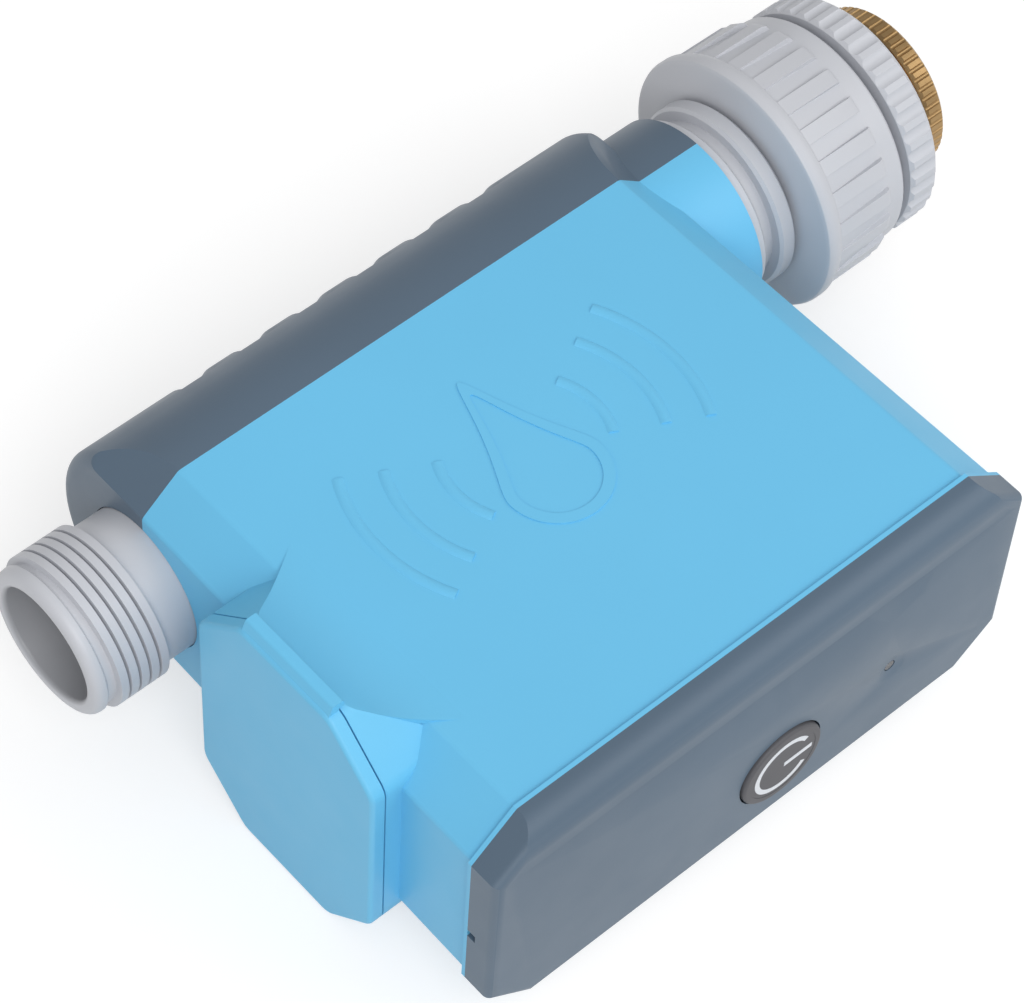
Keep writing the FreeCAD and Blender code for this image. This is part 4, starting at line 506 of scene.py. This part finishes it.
class Shop:
    """Ways to make and finish meshes that several sub-assemblies share."""

    crisp_angle = 32.0
    rounding_steps = 2

    @staticmethod
    def piece(name: str, shape: bmesh.types.BMesh, material: bpy.types.Material) -> bpy.types.Object:
        """Turn a finished bmesh into an object at the origin.

        Args:
            name: The piece's name.
            shape: The mesh, in metres, where it belongs. It is freed.
            material: The finish.

        Returns:
            The new object.
        """
        mesh = bpy.data.meshes.new(name)
        shape.to_mesh(mesh)
        shape.free()
        mesh.materials.append(material)
        item = bpy.data.objects.new(name, mesh)
        bpy.context.scene.collection.objects.link(item)
        return item

    @staticmethod
    def shade(item: bpy.types.Object, sharpest: float = crisp_angle) -> None:
        """Shade a mesh smooth, with edges sharper than an angle left crisp."""
        mesh = item.data
        work = bmesh.new()
        work.from_mesh(mesh)
        for face in work.faces:
            face.smooth = True
        for edge in work.edges:
            edge.smooth = len(edge.link_faces) == 2 and edge.calc_face_angle(0.0) < math.radians(sharpest)
        work.to_mesh(mesh)
        work.free()

    @classmethod
    def refined(
        cls, node: str, material: bpy.types.Material, sharpest: float = crisp_angle, edge: float = 0.0
    ) -> bpy.types.Object:
        """Stand a merged, smoothly shaded copy of a solid in its place.

        Args:
            node: The CAD node to stand for.
            material: The finish.
            sharpest: Edges that turn by more than this many degrees stay crisp.
            edge: The width in metres of a small round on the crisp edges, or 0 for none.

        Returns:
            The piece that stands for the node.
        """
        shape = bmesh.new()
        shape.from_mesh(NODES[node].data)
        bmesh.ops.remove_doubles(shape, verts=shape.verts, dist=MERGE_DISTANCE)
        bmesh.ops.dissolve_degenerate(shape, edges=shape.edges, dist=SLIVER_LENGTH)
        bmesh.ops.dissolve_limit(
            shape, angle_limit=FLAT_ANGLE, verts=shape.verts, edges=shape.edges, delimit={"NORMAL"}
        )
        item = cls.piece(f"{node}_finished", shape, material)
        cls.shade(item, sharpest)
        if edge > 0:
            rounding = item.modifiers.new("small rounds", "BEVEL")
            rounding.width = edge
            rounding.segments = cls.rounding_steps
            rounding.limit_method = "ANGLE"
            rounding.angle_limit = math.radians(sharpest)
            rounding.use_clamp_overlap = True
            rounding.harden_normals = False
        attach(item, NODES[node]["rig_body"])
        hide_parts(node)
        return item

    @staticmethod
    def dress(nodes: tuple[str, ...], material: bpy.types.Material) -> None:
        """Give solids that stay as they are one finish."""
        for node in nodes:
            mesh = NODES[node].data
            mesh.materials.clear()
            mesh.materials.append(material)


@dataclass
class Emblem:
    """The faint raised emblem on the broad face: a water drop between two fans of arcs."""

    centre_x: float = -0.1028
    centre_y: float = -0.0286
    radii: tuple[float, ...] = (0.0130, 0.0208, 0.0275)
    half_angle: float = 28.0
    stroke: float = 0.0018
    crown_share: float = 0.55
    height: float = 0.00028
    sunk: float = 0.0004
    drop_length: float = 0.0300
    drop_radius: float = 0.0086
    drop_height: float = 0.0002
    drop_tip_share: float = 2.6
    drop_pinch: float = 0.62
    arc_steps: int = 28
    drop_segments: int = 96
    sharpest: float = 50.0
    face_height: float = 0.0214
    face_depth: float = 0.0727
    draft: float = 0.7

    def build(self, finish: bpy.types.Material) -> bpy.types.Object:
        """Build the relief on the tilted face.

        Args:
            finish: The housing's own finish.

        Returns:
            The emblem as one piece.
        """
        relief = bmesh.new()
        for side in (0.0, math.pi):
            for radius in self.radii:
                self.add_arc(relief, radius, side)
        self.add_drop(relief)
        bmesh.ops.recalc_face_normals(relief, faces=relief.faces)
        self.lay_on_face(relief)
        item = Shop.piece("raised_emblem", relief, finish)
        Shop.shade(item, self.sharpest)
        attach(item, "housing")
        return item

    def add_arc(self, relief: bmesh.types.BMesh, radius: float, side: float) -> None:
        """Spin a domed section through the angle of one arc.

        Args:
            relief: The mesh to add to.
            radius: The arc's middle radius.
            side: The direction that the fan opens to, in radians.
        """
        half = self.stroke / 2
        crown = self.crown_share * half
        section = (
            (radius - half, -self.sunk),
            (radius - half, 0.0),
            (radius - crown, self.height),
            (radius + crown, self.height),
            (radius + half, 0.0),
            (radius + half, -self.sunk),
        )
        turn = Matrix.Rotation(side - math.radians(self.half_angle), 4, "Z")
        corners = [relief.verts.new(turn @ Vector((across, 0.0, up))) for across, up in section]
        start = relief.faces.new(corners)
        angle = math.radians(2 * self.half_angle)
        bmesh.ops.spin(relief, geom=[start], cent=ORIGIN, axis=UPWARDS, angle=angle, steps=self.arc_steps)

    def add_drop(self, relief: bmesh.types.BMesh) -> None:
        """Raise the outline of a drop as a low band between two rings, each pulled to a tip."""
        outer = self.drop_ring(relief, self.drop_radius, self.drop_length)
        inner_length = self.drop_length - self.drop_tip_share * self.stroke
        inner = self.drop_ring(relief, self.drop_radius - self.stroke, inner_length)
        band = bmesh.ops.bridge_loops(relief, edges=outer + inner)
        raised = bmesh.ops.extrude_face_region(relief, geom=band["faces"], use_keep_orig=True)
        tops = [item for item in raised["geom"] if isinstance(item, bmesh.types.BMVert)]
        bmesh.ops.translate(relief, vec=(0.0, 0.0, self.drop_height + self.sunk), verts=tops)

    def drop_ring(self, relief: bmesh.types.BMesh, radius: float, length: float) -> list[bmesh.types.BMEdge]:
        """Draw one ring of the drop.

        Args:
            relief: The mesh to add to.
            radius: The radius of the round end.
            length: The whole length from the round end to the tip.

        Returns:
            The ring's edges.
        """
        ring = bmesh.ops.create_circle(relief, cap_ends=False, radius=radius, segments=self.drop_segments)
        reach = length - 2 * radius
        for corner in ring["verts"]:
            lift = max(corner.co.y, 0.0) / radius
            corner.co.y += reach * lift**3
            corner.co.x *= 1.0 - self.drop_pinch * lift**2
        down = -(self.drop_length - 2 * self.drop_radius) / 2
        bmesh.ops.translate(relief, vec=(0.0, down, -self.sunk), verts=ring["verts"])
        return list({edge for corner in ring["verts"] for edge in corner.link_edges})

    def lay_on_face(self, relief: bmesh.types.BMesh) -> None:
        """Tilt the relief by the housing's draft and set it down on the broad face."""
        slope = math.radians(self.draft)
        place = self.face_height - (self.face_depth + self.centre_y) * math.tan(slope)
        tilt = Matrix.Rotation(-slope, 3, "X")
        bmesh.ops.rotate(relief, cent=ORIGIN, matrix=tilt, verts=relief.verts)
        bmesh.ops.translate(relief, vec=(self.centre_x, self.centre_y, place), verts=relief.verts)


@dataclass
class BayBlend:
    """The hollow sweep that lets the broad faces run up into the ramps of the battery bay."""

    corner_x: float = -0.1450
    face_height: float = 0.02099
    middle_y: float = -0.0390
    half_width: float = 0.0151
    flare: float = 0.70
    ramp_angle: float = 34.36
    reach: float = 0.0056
    sunk: float = 0.00025
    steps: int = 16
    draft: float = 0.7
    sharpest: float = 20.0

    def build(self, finish: bpy.types.Material) -> None:
        """Build the sweep above and below.

        Args:
            finish: The housing's own finish.
        """
        for side, name in ((1.0, "upper_bay_blend"), (-1.0, "lower_bay_blend")):
            sweep = bmesh.new()
            self.add_sweep(sweep)
            if side < 0:
                bmesh.ops.scale(sweep, vec=(1.0, 1.0, -1.0), verts=sweep.verts)
            bmesh.ops.recalc_face_normals(sweep, faces=sweep.faces)
            item = Shop.piece(name, sweep, finish)
            Shop.shade(item, self.sharpest)
            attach(item, "housing")

    def profile(self) -> list[Vector]:
        """Give the hollow arc that touches the face and the ramp, and the corner below it."""
        turn = math.radians(self.ramp_angle)
        radius = self.reach / math.tan(turn / 2)
        start = Vector((self.corner_x + self.reach, 0.0, self.face_height))
        centre = start + Vector((0.0, 0.0, radius))
        arc = []
        for step in range(self.steps + 1):
            angle = turn * step / self.steps
            arc.append(centre - radius * Vector((math.sin(angle), 0.0, math.cos(angle))))
        below = Vector((0.0, 0.0, -self.sunk))
        corner = Vector((self.corner_x, 0.0, self.face_height))
        return arc + [arc[-1] + below, corner + below, start + below]

    def add_sweep(self, sweep: bmesh.types.BMesh) -> None:
        """Stretch the profile between the bay's two slanting ridges.

        Its end on the broad face follows that face's draft, and its end on the ramp stays level.

        Args:
            sweep: The mesh to add to.
        """
        start = sweep.faces.new([sweep.verts.new(point) for point in self.profile()])
        far = bmesh.ops.extrude_face_region(sweep, geom=[start], use_keep_orig=True)
        ends = [item for item in far["geom"] if isinstance(item, bmesh.types.BMVert)]
        slope = math.tan(math.radians(self.draft))
        low = self.corner_x - self.reach * math.cos(math.radians(self.ramp_angle))
        for corner in sweep.verts:
            half = self.half_width + self.flare * (corner.co.x - self.corner_x)
            corner.co.y = half if corner in ends else -half
            share = (corner.co.x - low) / (self.corner_x + self.reach - low)
            corner.co.z -= slope * share * corner.co.y
        bmesh.ops.translate(sweep, vec=(0.0, self.middle_y, 0.0), verts=sweep.verts)


@dataclass
class PowerKey:
    """The round key with its printed on-off symbol, whose bar points along +X."""

    centre_x: float = -0.0964
    centre_z: float = -0.0090
    face_y: float = -0.0795
    seat_depth: float = 0.0003
    print_height: float = 0.00005
    seat_radius: float = 0.00638
    ring_outer: float = 0.0056
    ring_inner: float = 0.0047
    gap_half_angle: float = 34.0
    bar_half_width: float = 0.00045
    bar_start: float = 0.0002
    bar_end: float = 0.0057
    seat_segments: int = 96
    ring_steps: int = 72

    def build(self, palette: Palette) -> None:
        """Finish the key and lay its symbol on it."""
        Shop.refined("power_button", palette.key_black)
        self.build_seat(palette.key_black)
        symbol = bmesh.new()
        self.add_ring(symbol)
        self.add_bar(symbol)
        self.stand_on_key(symbol)
        item = Shop.piece("key_symbol", symbol, palette.print_white)
        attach(item, "power_key")

    def build_seat(self, finish: bpy.types.Material) -> None:
        """Stand a disc for the symbol's solid, a hair below the key's face."""
        disc = bmesh.new()
        bmesh.ops.create_cone(
            disc,
            cap_ends=True,
            segments=self.seat_segments,
            radius1=self.seat_radius,
            radius2=self.seat_radius,
            depth=self.seat_depth - self.print_height,
        )
        level = -(self.seat_depth + self.print_height) / 2
        bmesh.ops.translate(disc, vec=(0.0, 0.0, level), verts=disc.verts)
        self.stand_on_key(disc)
        item = Shop.piece("symbol_seat", disc, finish)
        Shop.shade(item)
        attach(item, "power_key")
        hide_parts("power_symbol")

    def add_ring(self, symbol: bmesh.types.BMesh) -> None:
        """Spin a flat strip round the part of the circle that the gap leaves."""
        start = math.radians(self.gap_half_angle)
        turn = Matrix.Rotation(start, 4, "Z")
        section = (
            (self.ring_inner, -self.print_height),
            (self.ring_inner, 0.0),
            (self.ring_outer, 0.0),
            (self.ring_outer, -self.print_height),
        )
        corners = [symbol.verts.new(turn @ Vector((across, 0.0, up))) for across, up in section]
        face = symbol.faces.new(corners)
        angle = 2 * math.pi - 2 * start
        bmesh.ops.spin(symbol, geom=[face], cent=ORIGIN, axis=UPWARDS, angle=angle, steps=self.ring_steps)

    def add_bar(self, symbol: bmesh.types.BMesh) -> None:
        """Add the straight bar."""
        bar = bmesh.ops.create_cube(symbol, size=1.0)["verts"]
        bmesh.ops.scale(
            symbol,
            vec=(self.bar_end - self.bar_start, 2 * self.bar_half_width, self.print_height),
            verts=bar,
        )
        middle = ((self.bar_start + self.bar_end) / 2, 0.0, -self.print_height / 2)
        bmesh.ops.translate(symbol, vec=middle, verts=bar)

    def stand_on_key(self, shape: bmesh.types.BMesh) -> None:
        """Turn a flat shape to face -Y and move it onto the key."""
        bmesh.ops.rotate(shape, cent=ORIGIN, matrix=Matrix.Rotation(math.pi / 2, 3, "X"), verts=shape.verts)
        bmesh.ops.translate(shape, vec=(self.centre_x, self.face_y, self.centre_z), verts=shape.verts)
        bmesh.ops.recalc_face_normals(shape, faces=shape.faces)


@dataclass
class Housing:
    """The blue front shell, the slate back and control panel, and what is inside them."""

    emblem: Emblem = field(default_factory=Emblem)
    blend: BayBlend = field(default_factory=BayBlend)
    panel_crisp_angle: float = 24.0

    def build(self, palette: Palette) -> None:
        """Finish the shells and lay the emblem on them."""
        Shop.refined("front_shell", palette.shell_blue)
        self.blend.build(palette.shell_blue)
        Shop.refined("rear_shell", palette.slate)
        Shop.refined("control_panel", palette.slate, sharpest=self.panel_crisp_angle)
        Shop.refined("shell_screws", palette.steel)
        self.emblem.build(palette.shell_blue)
        Shop.dress(("panel_seal",), palette.rubber)
        Shop.dress(("light_pipe", "status_lamp"), palette.smoked)

    def build_inside(self, palette: Palette) -> None:
        """Dress the parts that only show when the timer is open."""
        Shop.dress(("circuit_board",), palette.board)
        Shop.dress(("tact_switch",), palette.holder_black)
        Shop.dress(("radio_module", "board_screws"), palette.steel)


@dataclass
class BatteryDrawer:
    """The battery cover with the holder and cells behind it."""

    cell_count: int = 4

    def build(self, palette: Palette) -> None:
        """Finish the drawer."""
        Shop.refined("battery_cover", palette.shell_blue)
        Shop.dress(("battery_seal",), palette.rubber)
        Shop.refined("battery_holder", palette.holder_black)
        for number in range(1, self.cell_count + 1):
            Shop.refined(f"battery_{number}", palette.sleeve)
        Shop.dress(("contact_plates",), palette.steel)
        Shop.refined("contact_springs", palette.steel)


@dataclass
class Waterway:
    """The outlet and valve body, the spigot, and the screwed adapters at the inlet."""

    body_edge: float = 0.00022
    nut_edge: float = 0.00035
    reducer_edge: float = 0.00025

    def build(self, palette: Palette) -> None:
        """Finish the waterway."""
        Shop.refined("valve_body", palette.pipe_grey, edge=self.body_edge)
        Shop.refined("inlet_spigot", palette.pale_grey)
        Shop.refined("swivel_nut", palette.pale_grey, edge=self.nut_edge)
        Shop.refined("plastic_reducer", palette.pale_grey, edge=self.reducer_edge)
        Shop.refined("brass_reducer", palette.brass)
        Shop.refined("inlet_strainer", palette.gear_white)
        Shop.dress(("inlet_washer", "reducer_washer", "stem_seals"), palette.rubber)
        Shop.dress(("valve_seats",), palette.gear_white)
        Shop.refined("valve_ball", palette.chrome)
        Shop.refined("valve_stem", palette.brass)


@dataclass
class GearTrain:
    """The gearbox, its gears and the motor."""

    gears: tuple[str, ...] = ("output_gear", "first_idler", "second_idler", "motor_pinion")

    def build(self, palette: Palette) -> None:
        """Dress the gearbox and its gears."""
        for gear in self.gears:
            Shop.refined(gear, palette.gear_white)
        Shop.dress(("gearbox_case", "gearbox_cover"), palette.gear_white)
        Shop.dress(("gear_axles", "motor_shaft"), palette.steel)
        Shop.refined("gear_motor", palette.steel)


@dataclass
class Studio:
    """The plain white table, the lamps and the camera."""

    floor_height: float = -0.0266
    floor_reach: float = 3.0
    table_shade: float = 0.55
    table_roughness: float = 0.9
    table_glow: float = 0.55
    sky_strength: float = 0.55
    key_place: Point = (-0.7, -0.9, 1.0)
    key_power: float = 11.0
    fill_place: Point = (0.7, -0.8, 0.9)
    fill_power: float = 5.0
    lamp_size: float = 1.0
    lamp_target: Point = (-0.09, -0.03, 0.0)
    camera_place: Point = (-0.3362, -0.2647, 0.4739)
    camera_right: Point = (0.7509, -0.6592, 0.0389)
    camera_up: Point = (0.5210, 0.6276, 0.5784)
    camera_back: Point = (-0.4057, -0.4140, 0.8148)
    focal_pixels: float = 3927.9
    sensor: float = 36.0
    nearest: float = 0.01

    def build(self) -> None:
        """Set up everything that isn't part of the timer."""
        self.build_floor()
        self.build_world()
        self.build_lamps()
        self.build_camera()
        bpy.context.scene.view_settings.view_transform = "Standard"

    def build_floor(self) -> None:
        """Lay a wide white table that keeps the timer's shadow."""
        shape = bmesh.new()
        bmesh.ops.create_grid(shape, x_segments=1, y_segments=1, size=self.floor_reach)
        bmesh.ops.translate(shape, vec=(0.0, 0.0, self.floor_height), verts=shape.verts)
        material = bpy.data.materials.new("table white")
        material.use_nodes = True
        tree = material.node_tree
        plain = tree.nodes["Principled BSDF"]
        plain.inputs["Base Color"].default_value = (*(self.table_shade,) * 3, 1.0)
        plain.inputs["Roughness"].default_value = self.table_roughness
        seen = self.seen_directly(tree)
        glow = tree.nodes.new("ShaderNodeEmission")
        level = tree.nodes.new("ShaderNodeMath")
        level.operation = "MULTIPLY"
        level.inputs[1].default_value = self.table_glow
        tree.links.new(seen, level.inputs[0])
        tree.links.new(level.outputs["Value"], glow.inputs["Strength"])
        both = tree.nodes.new("ShaderNodeAddShader")
        tree.links.new(plain.outputs["BSDF"], both.inputs[0])
        tree.links.new(glow.outputs["Emission"], both.inputs[1])
        tree.links.new(both.outputs["Shader"], tree.nodes["Material Output"].inputs["Surface"])
        Shop.piece("table", shape, material)

    @staticmethod
    def seen_directly(tree: bpy.types.NodeTree) -> bpy.types.NodeSocket:
        """Give 1 for camera, glossy and transmitted rays, and 0 for the rays that light the timer."""
        path = tree.nodes.new("ShaderNodeLightPath")
        seen = path.outputs["Is Camera Ray"]
        for kind in ("Is Glossy Ray", "Is Transmission Ray"):
            larger = tree.nodes.new("ShaderNodeMath")
            larger.operation = "MAXIMUM"
            tree.links.new(seen, larger.inputs[0])
            tree.links.new(path.outputs[kind], larger.inputs[1])
            seen = larger.outputs["Value"]
        return seen

    def build_world(self) -> None:
        """Light the scene with a plain sky that the camera sees as white."""
        world = bpy.data.worlds.new("sky")
        bpy.context.scene.world = world
        world.use_nodes = True
        tree = world.node_tree
        background = tree.nodes["Background"]
        path = tree.nodes.new("ShaderNodeLightPath")
        level = tree.nodes.new("ShaderNodeMapRange")
        level.inputs["To Min"].default_value = self.sky_strength
        level.inputs["To Max"].default_value = 1.0
        tree.links.new(path.outputs["Is Camera Ray"], level.inputs["Value"])
        tree.links.new(level.outputs["Result"], background.inputs["Strength"])
        background.inputs["Color"].default_value = (1.0, 1.0, 1.0, 1.0)

    def build_lamps(self) -> None:
        """Hang two large soft lamps in front of the timer."""
        self.add_lamp("key", self.key_place, self.key_power)
        self.add_lamp("fill", self.fill_place, self.fill_power)

    def add_lamp(self, name: str, place: Point, power: float) -> None:
        """Add an area lamp that looks at the timer.

        Args:
            name: The lamp's name.
            place: Where it hangs.
            power: Its power in watts.
        """
        lamp = bpy.data.lights.new(name, "AREA")
        lamp.size = self.lamp_size
        lamp.energy = power
        item = bpy.data.objects.new(name, lamp)
        bpy.context.scene.collection.objects.link(item)
        item.location = place
        towards = Vector(self.lamp_target) - Vector(place)
        item.rotation_euler = towards.to_track_quat("-Z", "Y").to_euler()

    def build_camera(self) -> None:
        """Place the camera at the measured viewpoint."""
        lens = bpy.data.cameras.new("camera")
        lens.sensor_fit = "HORIZONTAL"
        lens.sensor_width = self.sensor
        lens.lens = self.focal_pixels * self.sensor / IMAGE_SIZE[0]
        lens.clip_start = self.nearest
        item = bpy.data.objects.new("camera", lens)
        bpy.context.scene.collection.objects.link(item)
        turn = Matrix((self.camera_right, self.camera_up, self.camera_back)).transposed().to_4x4()
        item.matrix_world = Matrix.Translation(self.camera_place) @ turn
        bpy.context.scene.camera = item


def main() -> None:
    """Build the whole scene."""
    logging.basicConfig(level=logging.INFO, format="%(asctime)s %(message)s")
    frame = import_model()
    NODES.update(frame["nodes"])
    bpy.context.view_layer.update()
    palette = Palette()
    housing = Housing()
    for title, step in (
        ("housing", lambda: housing.build(palette)),
        ("housing inside", lambda: housing.build_inside(palette)),
        ("power key", lambda: PowerKey().build(palette)),
        ("battery drawer", lambda: BatteryDrawer().build(palette)),
        ("waterway", lambda: Waterway().build(palette)),
        ("gear train", lambda: GearTrain().build(palette)),
        ("studio", lambda: Studio().build()),
    ):
        step()
        LOG.info("%s is finished", title)


if __name__ == "__main__":
    main()
